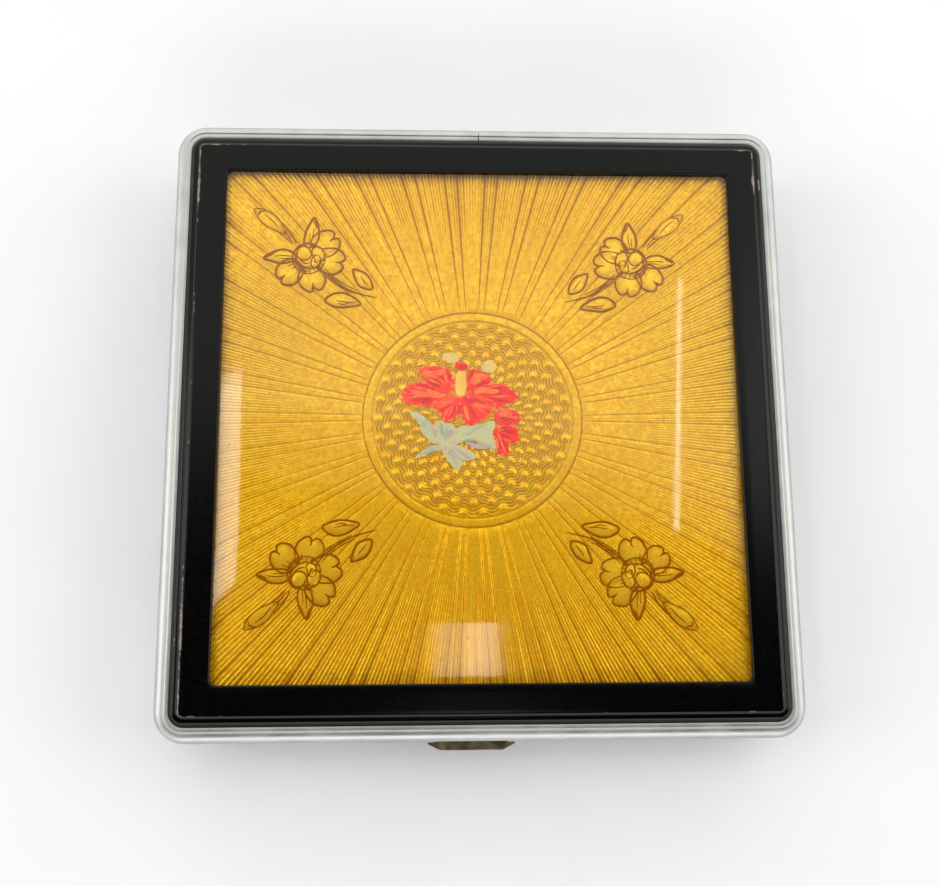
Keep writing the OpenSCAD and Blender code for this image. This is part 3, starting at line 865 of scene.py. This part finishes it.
def make_sprays():
    """Four engraved flower sprays, one towards each corner, each cut a little differently by hand."""
    petals, lines = Pile(), Pile()
    for index, place in enumerate(SPRAY_AT):
        hand = random.Random(70 + index)
        sx, sy = (math.copysign(1, c) for c in place)
        centre = MEDAL + Vector(place)
        outward = Vector((sx, sy)).normalized()
        across = Vector((-outward.y, outward.x)) * (sx * sy)

        def placed(points, wobble=0.05):
            return [centre + outward * (u + hand.uniform(-wobble, wobble))
                    + across * (v + hand.uniform(-wobble, wobble)) for u, v in points]

        def ridged(outline, foot, rise, top, line, flat, dark, power):
            # A low dome with a ridge round it, with painted shade darkening it towards the ridge
            verts, faces, edge = pillow([(p.x, p.y) for p in outline], FOIL_Z + foot, rise)
            petals.add(verts, faces, [dark * e ** power for e in edge])
            lines.add(*rod([Vector((p.x, p.y, FOIL_Z + top)) for p in outline], line, flat, 6, True))

        def shape(points, rise, line=0.12):
            outline = through([(*p, 0) for p in placed(points)], 5, True)
            ridged(outline, -0.02, rise, 0.015, line * hand.uniform(0.85, 1.2), 0.45, 0.8, 3)

        def strokes(rows, turn=0.0, size=1.0):
            for width, lift, points in rows:
                path = through([(*p, 0) for p in placed(spun(points, turn, size), 0.03)], 6)
                lines.add(*rod([Vector((p.x, p.y, FOIL_Z + lift)) for p in path], width * 1.15, 0.5, 6))

        for degrees, out in ROUND_AT:
            turn = degrees + hand.uniform(-4, 4)
            size = hand.uniform(0.96, 1.04) * (1 + 0.12 * out)
            shape(spun(ROUND_PETAL, turn, size), 0.075)
            strokes([(0.08, 0.07, [(4.2, 0.3), (3.9, 0.05), (3.45, 0.1)])], turn, size)
            for v in (-0.7, 0.0, 0.7):
                strokes([(0.045, 0.075, [(1.6, v * 0.7), (2.3 + hand.uniform(-0.2, 0.3), v)])], turn, size)
        for degrees in SEPAL_AT:
            turn = degrees + hand.uniform(-4, 4)
            shape(spun(SEPAL, turn), 0.06)
            strokes(SEPAL_STROKES, turn)
        shape(BUD, 0.05, 0.07)
        strokes(BUD_STROKES)
        for leaf, veins in LEAF_PARTS:
            shape(leaf, 0.05)
            strokes(veins)
        stem = [(0.10, 0.03, STEM), (0.07, 0.03, [(u, v + 0.32) for u, v in STEM[:4]])]
        strokes(stem + [(0.06, 0.03, [(u, v - 0.26) for u, v in STEM[:4]])])
        # Heart of the flower: petals folded over one another
        shape(oval(2.0, 1.95, 12, (-0.35, 0.1)), 0.10, 0.11)
        for (u, v), long, wide, lean in FOLDS:
            outline = through([(x + u, y + v, 0) for x, y in spun(oval(long, wide, 10), lean)], 5, True)
            outline = through([(*p, 0) for p in placed([(q.x, q.y) for q in outline[::5]])], 5, True)
            ridged(outline, 0.05, 0.08, 0.09, 0.09, 0.5, 0.45, 4)
        strokes(HEART_STROKES)
    petals.piece("spray_petals", "lid", "gilt", PETAL, attribute="cut")
    lines.piece("spray_lines", "lid", "gilt", CUT_LINE)


# The painted flower, in millimetres from the medallion's centre: outline and how high it stands.
RED_PETALS = [
    ([(-8.8, 2.6), (-8.5, 3.5), (-7.7, 4.2), (-6.6, 4.5), (-5.4, 4.4), (-3.9, 3.8), (-2.5, 3.2),
      (-2.6, 2.5), (-3.7, 2.0), (-5.2, 1.4), (-6.9, 1.6), (-8.2, 1.9)], 0.13),
    ([(-6.7, 6.2), (-5.4, 6.5), (-4.1, 6.5), (-2.9, 6.1), (-2.2, 5.0), (-2.1, 3.7), (-2.8, 2.9),
      (-4.2, 3.5), (-5.4, 4.3), (-6.3, 5.2)], 0.15),
    ([(-0.6, 3.2), (-0.8, 4.5), (-0.6, 5.8), (0.1, 6.2), (0.9, 6.0), (2.0, 5.3), (2.5, 4.5), (1.7, 4.1),
      (0.6, 3.7)], 0.15),
    ([(-0.8, 2.9), (0.4, 3.7), (1.8, 4.3), (3.1, 4.4), (4.3, 4.0), (5.4, 3.2), (5.4, 2.4), (4.1, 1.5),
      (2.4, 1.2), (0.6, 1.9)], 0.14),
    ([(-4.7, 1.7), (-4.5, 1.0), (-3.7, 0.0), (-3.3, -0.5), (-2.4, -0.3), (-1.6, 0.5), (-1.3, 1.6),
      (-1.6, 2.7), (-3.0, 2.6)], 0.16),
    ([(-1.5, 2.7), (-1.6, 1.3), (-1.4, 0.1), (-0.7, -0.9), (0.3, -0.7), (1.3, -0.1), (2.4, 0.8), (2.5, 2.0),
      (1.2, 2.5)], 0.16),
]
RED_BUDS = [
    ([(2.5, 0.2), (2.9, 0.9), (3.9, 1.1), (5.0, 1.0), (5.8, 0.3), (5.6, -0.5), (4.6, -0.9),
      (3.3, -0.8)], 0.13),
    ([(2.3, -1.9), (2.8, -1.0), (4.0, -0.8), (5.2, -1.1), (5.7, -2.0), (5.3, -3.0), (4.3, -3.3),
      (4.3, -4.2), (3.7, -4.7), (2.9, -4.2), (2.8, -3.1)], 0.14),
    ([(-2.2, 6.5), (-2.0, 7.0), (-1.3, 7.0), (-0.6, 6.7), (-0.7, 6.1), (-1.5, 5.9)], 0.12),
]
LEAVES = [
    ([(-7.6, 0.6), (-7.0, 0.8), (-5.9, 0.2), (-4.9, -0.8), (-3.9, -2.2), (-4.0, -3.1), (-5.0, -3.0),
      (-6.0, -2.0), (-6.6, -0.7)], 0.09),
    ([(-4.4, -0.3), (-3.3, -0.6), (-2.3, -0.8), (-2.2, -1.9), (-2.8, -3.0), (-3.8, -3.2),
      (-4.6, -1.9)], 0.10),
    ([(-3.4, -2.9), (-2.5, -1.8), (-1.5, -1.0), (-0.2, -0.9), (1.2, -0.7), (2.5, -0.3), (2.8, -1.4),
      (2.7, -2.6), (2.8, -3.9), (1.5, -3.4), (0.2, -2.9), (-1.3, -2.8), (-2.4, -3.4)], 0.10),
    ([(-4.0, -3.0), (-2.7, -3.0), (-1.4, -3.5), (-0.2, -4.1), (0.5, -4.8), (-0.6, -5.2), (-1.3, -5.3),
      (-1.7, -6.4), (-2.6, -5.8), (-3.4, -4.7)], 0.10),
    ([(-7.0, -4.9), (-6.0, -3.9), (-4.8, -3.4), (-3.6, -3.1), (-3.6, -3.8), (-4.8, -4.1),
      (-6.0, -4.7)], 0.07),
]
PALE = [
    ([(-3.7, 7.6), (-3.2, 8.2), (-2.3, 8.2), (-1.6, 7.6), (-1.9, 6.9), (-2.9, 6.9)], 0.04),
    ([(1.0, 6.4), (1.7, 7.2), (2.5, 7.2), (3.0, 6.5), (2.6, 5.8), (1.8, 5.7)], 0.04),
]
STAMEN = [(-2.0, 3.0), (-2.1, 4.2), (-2.0, 5.4), (-1.5, 6.1), (-0.9, 5.9), (-0.8, 4.7), (-0.8, 3.6),
          (-1.2, 2.7)]


def brushed(points, wobble, hand):
    """A smooth closed outline through points, as uneven as a brush leaves it."""
    line = through([(MEDAL.x + x, MEDAL.y + y, 0) for x, y in points], 7, True)
    return [(p.x + hand.uniform(-wobble, wobble), p.y + hand.uniform(-wobble, wobble)) for p in line]


def fan(pile, outline, heart, level, rise, hand, count, width):
    """Brush strokes from the side of a petal nearest its heart out towards its rim."""
    centre = middle_of(outline)
    foot = min((Vector(p) for p in outline), key=lambda p: (p - heart).length)
    foot = centre + (foot - centre) * 0.75
    for k in range(count):
        tip = Vector(outline[int((k + hand.random()) * len(outline) / count) % len(outline)])
        if (tip - foot).length < 1.2:
            continue
        end = centre + (tip - centre) * hand.uniform(0.55, 0.9)
        bend = (end - foot).orthogonal() * hand.uniform(-0.08, 0.08)
        start = foot + (end - foot) * hand.uniform(0.0, 0.45)
        path = []
        for t in (0.0, 0.35, 0.7, 1.0):
            q = start + (end - start) * t + bend * math.sin(math.pi * t)
            share = min(1.0, (q - centre).length / max(0.1, (tip - centre).length))
            path.append(Vector((q.x, q.y, level + rise * (1 - share ** CREST) + 0.012)))
        pile.add(*rod(through(path, 4), width * hand.uniform(0.6, 1.3), 0.14, 8))


def make_painting():
    """The small bouquet painted over the medallion's bumps."""
    red = paint("paint_red", [(0.38, (0.95, 0.085, 0.03)), (0.46, (0.90, 0.035, 0.024)),
                              (0.55, (0.84, 0.018, 0.02)), (0.64, (0.64, 0.012, 0.016))])
    crimson = paint("paint_crimson", [(0.40, (0.76, 0.016, 0.026)), (0.60, (0.58, 0.010, 0.022))])
    coral = paint("paint_coral", [(0.40, (0.95, 0.23, 0.04)), (0.60, (0.90, 0.085, 0.035))], 700)
    green = paint("paint_leaf", [(0.38, (0.74, 0.64, 0.22)), (0.46, (0.48, 0.53, 0.27)),
                                 (0.55, (0.54, 0.49, 0.31)), (0.64, (0.50, 0.34, 0.27))], 300)
    grey = paint("paint_grey_green", [(0.40, (0.52, 0.52, 0.36)), (0.60, (0.30, 0.34, 0.24))])
    lilac = paint("paint_lilac", [(0.40, (0.56, 0.42, 0.36)), (0.60, (0.42, 0.32, 0.30))])
    pale = paint("paint_pale", [(0.42, (0.88, 0.56, 0.10)), (0.58, (0.62, 0.48, 0.24))])
    yellow = paint("paint_yellow", [(0.4, (0.92, 0.58, 0.12)), (0.6, (0.80, 0.44, 0.07))])
    level = FOIL_Z + 0.06
    hand = random.Random(7)
    heart = MEDAL + Vector((-1.4, 2.9))
    stalk = MEDAL + Vector((-3.4, -3.0))
    groups = (("painted_leaves", LEAVES, green, 0.0, 0.0), ("painted_petals", RED_PETALS, red, 0.03, 0.0),
              ("painted_buds", RED_BUDS, red, 0.03, 0.0), ("painted_blooms", PALE, pale, 0.0, 0.62),
              ("painted_stamen", [(STAMEN, 0.10)], yellow, 0.04, 0.2))
    darks, lights, greys, lilacs = Pile(), Pile(), Pile(), Pile()
    for name, shapes, material, lift, thin in groups:
        pile = Pile()
        for k, (points, rise) in enumerate(shapes):
            outline = brushed(points, 0.07, hand)
            foot = level + lift * 0.5 + 0.004 * k
            verts, faces, edge = pillow(outline, foot, rise - 0.02, 8)
            pile.add(verts, faces, [thin + (1 - thin) * e for e in edge])
            if material is red:
                fan(darks, outline, heart, foot, rise - 0.02, hand, 7, 0.16)
                fan(lights, outline, heart, foot, rise - 0.02, hand, 6, 0.15)
            elif material is green:
                fan(greys, outline, stalk, foot, rise - 0.02, hand, 6, 0.16)
                fan(lilacs, outline, stalk, foot, rise - 0.02, hand, 2, 0.24)
        pile.piece(name, "lid", "gilt", material, smooth=70, attribute="edge")
    # Light strokes along the petals' folds
    for path, width in ((((-7.6, 3.4), (-6.0, 3.0), (-4.4, 2.8), (-3.2, 2.8)), 0.32),
                        (((-6.0, 5.7), (-5.0, 5.4), (-4.2, 5.6), (-3.3, 5.9)), 0.45),
                        (((0.2, 3.1), (1.2, 3.5), (2.2, 3.3), (3.2, 3.4)), 0.38),
                        (((-0.2, 4.3), (0.4, 4.9), (1.0, 5.2), (1.7, 5.0)), 0.45),
                        (((3.2, 0.3), (4.0, 0.6), (4.8, 0.4)), 0.38)):
        line = through([(MEDAL.x + x, MEDAL.y + y, level + 0.15) for x, y in path], 6)
        lights.add(*rod(line, width, 0.12, 10))
    for name, pile, material in (("painted_shadows", darks, crimson), ("painted_lights", lights, coral),
                                 ("painted_veins", greys, grey), ("painted_haze", lilacs, lilac)):
        pile.piece(name, "lid", "gilt", material, smooth=70)


# ---- Clear dome ----

def cushion(x, y):
    """Share of the dome's rise: flat at its crown, turning down near its edges."""
    reach = WINDOW_HALF - 0.05
    u, v = min(1, abs(x) / reach), min(1, abs(y) / reach)
    return (1 - u ** 6) * (1 - v ** 6)


def make_dome():
    """The clear cover: two skins over a flange that sits under the border."""
    edge_z, reach, thick = BORDER_Z - 0.35, WINDOW_HALF - 0.06, 0.48
    shares = [1.0, 0.996, 0.99, 0.98, 0.968, 0.955, 0.94, 0.922, 0.902, 0.88, 0.855, 0.83, 0.80, 0.77, 0.74,
              0.70, 0.66, 0.61, 0.56, 0.50, 0.44, 0.37, 0.30, 0.22, 0.14, 0.06]
    verts, rings = [], 0
    for skin in (0.0, thick):
        flange_z = dome_low.z + thick - skin
        loops = [(dome_high.x - 0.02, 1.0, flange_z, None), (reach + 0.03, 0.75, flange_z, None)]
        loops += [(reach * s, max(0.02, 0.75 * s), edge_z - skin, s) for s in shares]
        if skin:
            loops.reverse()
        for half, r, z, share in loops:
            for x, y in square_loop(half, r, 56, 6):
                rise = (CROWN_Z - edge_z) * cushion(x, y) if share else 0
                verts.append((x, y, z + rise))
            rings += 1
    count = len(verts) // rings
    outer_top = rings // 2 - 1
    faces = [f for f in bridge(rings, True, False, count) if f[0] // count != outer_top]
    for ring in (outer_top, outer_top + 1):
        top = ring * count
        z = sum(v[2] for v in verts[top:top + count]) / count
        verts.append((0, 0, z))
        faces += fan_faces(top, count, len(verts) - 1)
    faces += join(0, (rings - 1) * count, count)
    piece("dome", verts, faces, "lid", "clear_plastic", CLEAR, ["clear_dome"], 50)


# ---- Inside ----

def dress_cad():
    """Materials and softened edges for the CAD nodes that stay."""
    soften = {"mirror_bezel": (INNER, 0.06), "powder_well": (INNER, 0.08), "sifter_ring": (INNER, 0.12),
              "door_lugs": (INNER, 0.06), "inner_door": (DOOR, 0.08), "catch_bracket": (INNER, 0.05),
              "catch_rivets": (INNER, 0.05), "catch_spring": (STEEL, 0.02), "thumb_catch": (CATCH, 0.16),
              "lid_hinge_leaf": (CHROME, 0.05), "base_hinge_leaf": (CHROME, 0.05), "hinge_pin": (STEEL, 0.08),
              "door_pin": (STEEL, 0.06), "catch_keeper": (CHROME, 0.06), "mirror_glass": (MIRROR, 0.0)}
    for node, (material, width) in soften.items():
        obj = frame["nodes"][node]
        for k in range(len(obj.data.materials)):
            obj.data.materials[k] = material
        if not obj.data.materials:
            obj.data.materials.append(material)
        weld = obj.modifiers.new("weld", "WELD")
        weld.merge_threshold = 0.002 * MM
        if width:
            bevel = obj.modifiers.new("bevel", "BEVEL")
            bevel.width, bevel.segments, bevel.limit_method = width * MM, 3, "ANGLE"
            bevel.angle_limit = math.radians(32)
            bevel.harden_normals = False
    card = brass("packing_card", (0.5, 0.4, 0.3))
    card.node_tree.nodes["Principled BSDF"].inputs["Metallic"].default_value = 0
    frame["nodes"]["lid_backing"].data.materials.clear()
    frame["nodes"]["lid_backing"].data.materials.append(card)


def make_powder():
    """Loose powder, settled unevenly against the well's wall."""
    low, high = box_mm("loose_powder")
    radius, steps, rings = high.x, 96, 26
    level = high.z - 0.22
    verts = []
    for k in range(1, rings + 1):
        r = radius * k / rings
        for x, y in oval(r, r, steps):
            swells = 0.22 * noise.noise(Vector((x * 0.11, y * 0.11, 3)))
            lumps = 0.10 * noise.noise(Vector((x * 0.5, y * 0.5, 1)))
            verts.append((x, y, level + (swells + lumps) * min(1, 1.4 - r / radius)))
    verts.append((0, 0, high.z - 0.2))
    faces = bridge(rings, True, False, steps) + [face[::-1] for face in fan_faces(0, steps, len(verts) - 1)]
    floor = len(verts)
    verts += [(x, y, low.z) for x, y in oval(radius, radius, steps)]
    faces += join((rings - 1) * steps, floor, steps)
    faces.append(tuple(range(floor, floor + steps)))
    piece("powder_bed", verts, faces, "base", "powder", powder(), ["loose_powder"], 60)


def make_gauze():
    """Woven gauze in the sifter ring: two sets of crossing threads."""
    low, high = box_mm("sifter_gauze")
    radius, mid = high.x - 0.05, (low.z + high.z) / 2
    pitch, thread = 1.0, 0.045
    count = int(radius / pitch)
    pile = Pile()
    for axis in (0, 1):
        for k in range(-count, count + 1):
            off = k * pitch
            half = math.sqrt(max(0.0, radius ** 2 - off ** 2))
            steps = max(2, int(2 * half / (pitch / 2)))
            path = []
            for s in range(steps + 1):
                along = -half + 2 * half * s / steps
                wave = 0.045 * math.cos(math.pi * (along / pitch + k + axis))
                path.append(Vector((off, along, mid + wave) if axis else (along, off, mid + wave)))
            pile.add(*rod(path, thread, 1.0, 4, taper=False))
    pile.piece("gauze_weave", "base", "gauze", gauze_thread(), ["sifter_gauze"])


def make_puff():
    """The puff: a round pad swelled by cloth simulation, with a sewn edge."""
    low, high = box_mm("powder_puff")
    radius, crown = high.x - 0.7, (high.z - low.z) / 2 - 0.45
    mid = (low.z + high.z) / 2
    cloth = velour()
    edit = bmesh.new()
    rings, steps = 22, 84
    skins = []
    for side in (1, -1):
        loops = []
        for k in range(1, rings + 1):
            r = radius * k / rings
            z = mid + side * crown * (1 - (k / rings) ** 5)
            loops.append([edit.verts.new(Vector((x, y, z)) * MM) for x, y in oval(r, r, steps)])
        if side == -1:
            loops[-1] = skins[0][-1]
        skins.append(loops)
        top = edit.verts.new(Vector((0, 0, mid + side * crown)) * MM)
        for i in range(steps):
            j = (i + 1) % steps
            edit.faces.new((loops[0][i], loops[0][j], top) if side == 1 else (loops[0][j], loops[0][i], top))
            for k in range(rings - 1):
                quad = (loops[k][i], loops[k + 1][i], loops[k + 1][j], loops[k][j])
                edit.faces.new(quad if side == 1 else quad[::-1])
    for spare in [v for v in edit.verts if not v.link_faces]:
        edit.verts.remove(spare)
    mesh = bpy.data.meshes.new("puff")
    edit.to_mesh(mesh)
    edit.free()
    obj = adopt("puff", mesh, "base", cloth, ["powder_puff"], 180)
    rest = np.array([v.co for v in mesh.vertices])
    swell(obj, rest, 0.5 * MM)
    # Keeps the pad inside the CAD puff
    inside = np.array([v.co for v in obj.data.vertices])
    inside[:, 2] = np.clip(inside[:, 2], (low.z + 0.05) * MM, (high.z - 0.05) * MM)
    flat_r = np.hypot(inside[:, 0], inside[:, 1])
    over = flat_r > (high.x - 0.1) * MM
    inside[over, :2] *= ((high.x - 0.1) * MM / flat_r[over])[:, None]
    obj.data.vertices.foreach_set("co", inside.astype(np.float32).ravel())
    mod = obj.modifiers.new("finer", "SUBSURF")
    mod.levels = mod.render_levels = 1
    apply_modifiers(obj)
    # Whipped stitches round the edge
    stitches = Pile()
    for i in range(72):
        ca, sa = math.cos(math.tau * i / 72), math.sin(math.tau * i / 72)
        r = radius + 0.15
        path = [Vector((r * ca + d * sa, r * sa - d * ca, mid + h))
                for d, h in ((-0.3, -0.42), (-0.1, -0.15), (0.1, 0.15), (0.3, 0.42))]
        stitches.add(*rod(path, 0.11, 1.0, 6))
    stitches.piece("puff_stitches", "base", "velour", cloth)


def swell(obj, rest, most):
    """Blows a pad up with cloth pressure, and lets no point move further than most."""
    mod = obj.modifiers.new("cloth", "CLOTH")
    settings = mod.settings
    settings.quality = 6
    settings.use_pressure = True
    settings.uniform_pressure_force = 4
    settings.effector_weights.gravity = 0
    settings.mass = 0.15
    scene = bpy.context.scene
    for number in range(1, 16):
        scene.frame_set(number)
    graph = bpy.context.evaluated_depsgraph_get()
    mesh = bpy.data.meshes.new_from_object(obj.evaluated_get(graph), depsgraph=graph)
    obj.modifiers.clear()
    moved = np.array([v.co for v in mesh.vertices])
    step = moved - rest
    length = np.maximum(np.linalg.norm(step, axis=1, keepdims=True), 1e-9)
    moved = rest + step * np.minimum(1, most / length)
    mesh.vertices.foreach_set("co", moved.astype(np.float32).ravel())
    obj.data = mesh
    shade(mesh, 180)
    scene.frame_set(1)


def make_ribbon():
    """Satin ribbon across the puff, sewn at its ends and bowed a little at the middle."""
    low, high = box_mm("puff_ribbon")
    across, along = 8, 60
    half = high.x - 0.3
    verts = []
    for skin in (0.0, 0.09):
        for i in range(along + 1):
            y = low.y + 0.3 + (high.y - low.y - 0.6) * i / along
            crown = math.sin(math.pi * i / along) ** 0.5
            for k in range(across + 1):
                x = -half + 2 * half * k / across
                ripple = 0.02 * math.sin(y * 1.1 + x * 0.7)
                verts.append((x * (1 - 0.06 * crown), y, high.z - 0.13 + 0.07 * crown + ripple - skin))
    width = across + 1
    size = width * (along + 1)
    faces = []
    for i in range(along):
        for k in range(across):
            a = i * width + k
            faces.append((a, a + 1, a + width + 1, a + width))
            faces.append((size + a + width, size + a + width + 1, size + a + 1, size + a))
    rim = list(range(width)) + [i * width + across for i in range(1, along + 1)]
    rim += [along * width + k for k in range(across - 1, -1, -1)]
    rim += [i * width for i in range(along - 1, 0, -1)]
    faces += [(a, b, size + b, size + a) for a, b in zip(rim, rim[1:] + rim[:1])]
    piece("ribbon", verts, faces, "base", "ribbon", satin(), ["puff_ribbon"], 60)


# ---- Stage ----

def make_stage():
    reach = 1.15
    corners = [(-reach, -reach, 0), (reach, -reach, 0), (reach, reach, 0), (-reach, reach, 0)]
    mesh = bpy.data.meshes.new("floor")
    mesh.from_pydata(corners, [], [(0, 1, 2, 3)])
    s = Shader("pale_floor", Roughness=0.85)
    s.colour(s.ramp(s.noise(30, 3), (0.3, (0.765, 0.752, 0.80)), (0.7, (0.79, 0.78, 0.825))))
    mesh.materials.append(s.material)
    add_object("floor", mesh)


def light_from(name, tilt, span, radiance, colour=(1, 1, 1), lean=0.0, far=1.4):
    """A rectangular light aimed at the case from those tilts from overhead, along X and Y, spanning those
    degrees, of that radiance. Its width lies along X, turned by lean."""
    place = far * Vector((math.tan(math.radians(tilt[0])), math.tan(math.radians(tilt[1])), 1)).normalized()
    size = [2 * far * math.tan(math.radians(s / 2)) for s in span]
    light = bpy.data.lights.new(name, "AREA")
    light.shape, light.size, light.size_y = "RECTANGLE", size[0], size[1]
    light.energy = radiance * math.pi * size[0] * size[1]
    light.color = colour
    back = place.normalized()
    up = back.cross(Vector((1, lean, 0))).normalized()
    turn = Matrix((up.cross(back), up, back)).transposed()
    add_object(name, light).matrix_world = Matrix.Translation(place) @ turn.to_4x4()


def make_lights():
    """A wide pale panel behind, which the enamel reflects, windows at both sides and a low fill in front. The
    small lights near overhead are the ones the clear dome's edges pick up."""
    # The panel, and two dimmer strips that soften its lower edge
    for middle, span, share in ((38.5, 53, 1.0), (10.8, 2.4, 0.7), (8.4, 2.4, 0.35)):
        light_from("back_panel", (3, middle), (80, span), 1.33 * share, (0.965, 1.04, 0.92), -0.09, 1.15)
    light_from("left_window", (-57, 3), (32, 28), 3.2, (1.0, 0.96, 0.89))
    light_from("right_window", (55, 8), (28, 32), 3.1, (1.0, 0.96, 0.89))
    light_from("front_fill", (0, -64), (46, 15), 3.6, (1.0, 0.95, 0.88))
    light_from("left_glow", (-29, 9), (8.5, 12.5), 5.6)
    light_from("right_streak", (20, 13.5), (0.8, 15), 9.0, lean=-0.12)
    light_from("front_pane_left", (1.1, -14), (1.5, 16), 3.0, (1.0, 0.97, 0.9))
    light_from("front_pane_right", (3.0, -14), (1.9, 16), 5.5, (1.0, 0.97, 0.9))


def make_world():
    """Soft room light: pale towards the horizon and dark overhead."""
    world = bpy.data.worlds.new("room")
    world.use_nodes = True
    tree = world.node_tree
    place = tree.nodes.new("ShaderNodeTexCoord").outputs["Generated"]
    split = tree.nodes.new("ShaderNodeSeparateXYZ")
    ramp = tree.nodes.new("ShaderNodeValToRGB")
    ramp.color_ramp.interpolation = "EASE"
    ramp.color_ramp.elements[0].position = 0.10
    ramp.color_ramp.elements[0].color = (2.1, 2.1, 2.12, 1)
    ramp.color_ramp.elements[1].position = 0.78
    ramp.color_ramp.elements[1].color = (0.0, 0.0, 0.0, 1)
    tree.links.new(place, split.inputs["Vector"])
    tree.links.new(split.outputs["Z"], ramp.inputs["Fac"])
    tree.links.new(ramp.outputs["Color"], tree.nodes["Background"].inputs["Color"])
    bpy.context.scene.world = world


def make_camera():
    data = bpy.data.cameras.new("camera")
    data.lens, data.sensor_width = 42.8, 36
    data.clip_start, data.clip_end = 0.005, 20
    camera = add_object("camera", data)
    camera.location = (-7.06 * MM, -28.61 * MM, (LIP_Z + 132.14) * MM)
    camera.rotation_euler = [math.radians(a) for a in (10.95, -2.36, -0.42)]
    bpy.context.scene.camera = camera


make_camera()
make_rims()
make_panel()
make_pan()
make_rays()
make_medallion()
make_sprays()
make_painting()
make_dome()
dress_cad()
make_powder()
make_gauze()
make_puff()
make_ribbon()
make_stage()
make_lights()
make_world()
bpy.context.scene.view_settings.view_transform = "Standard"
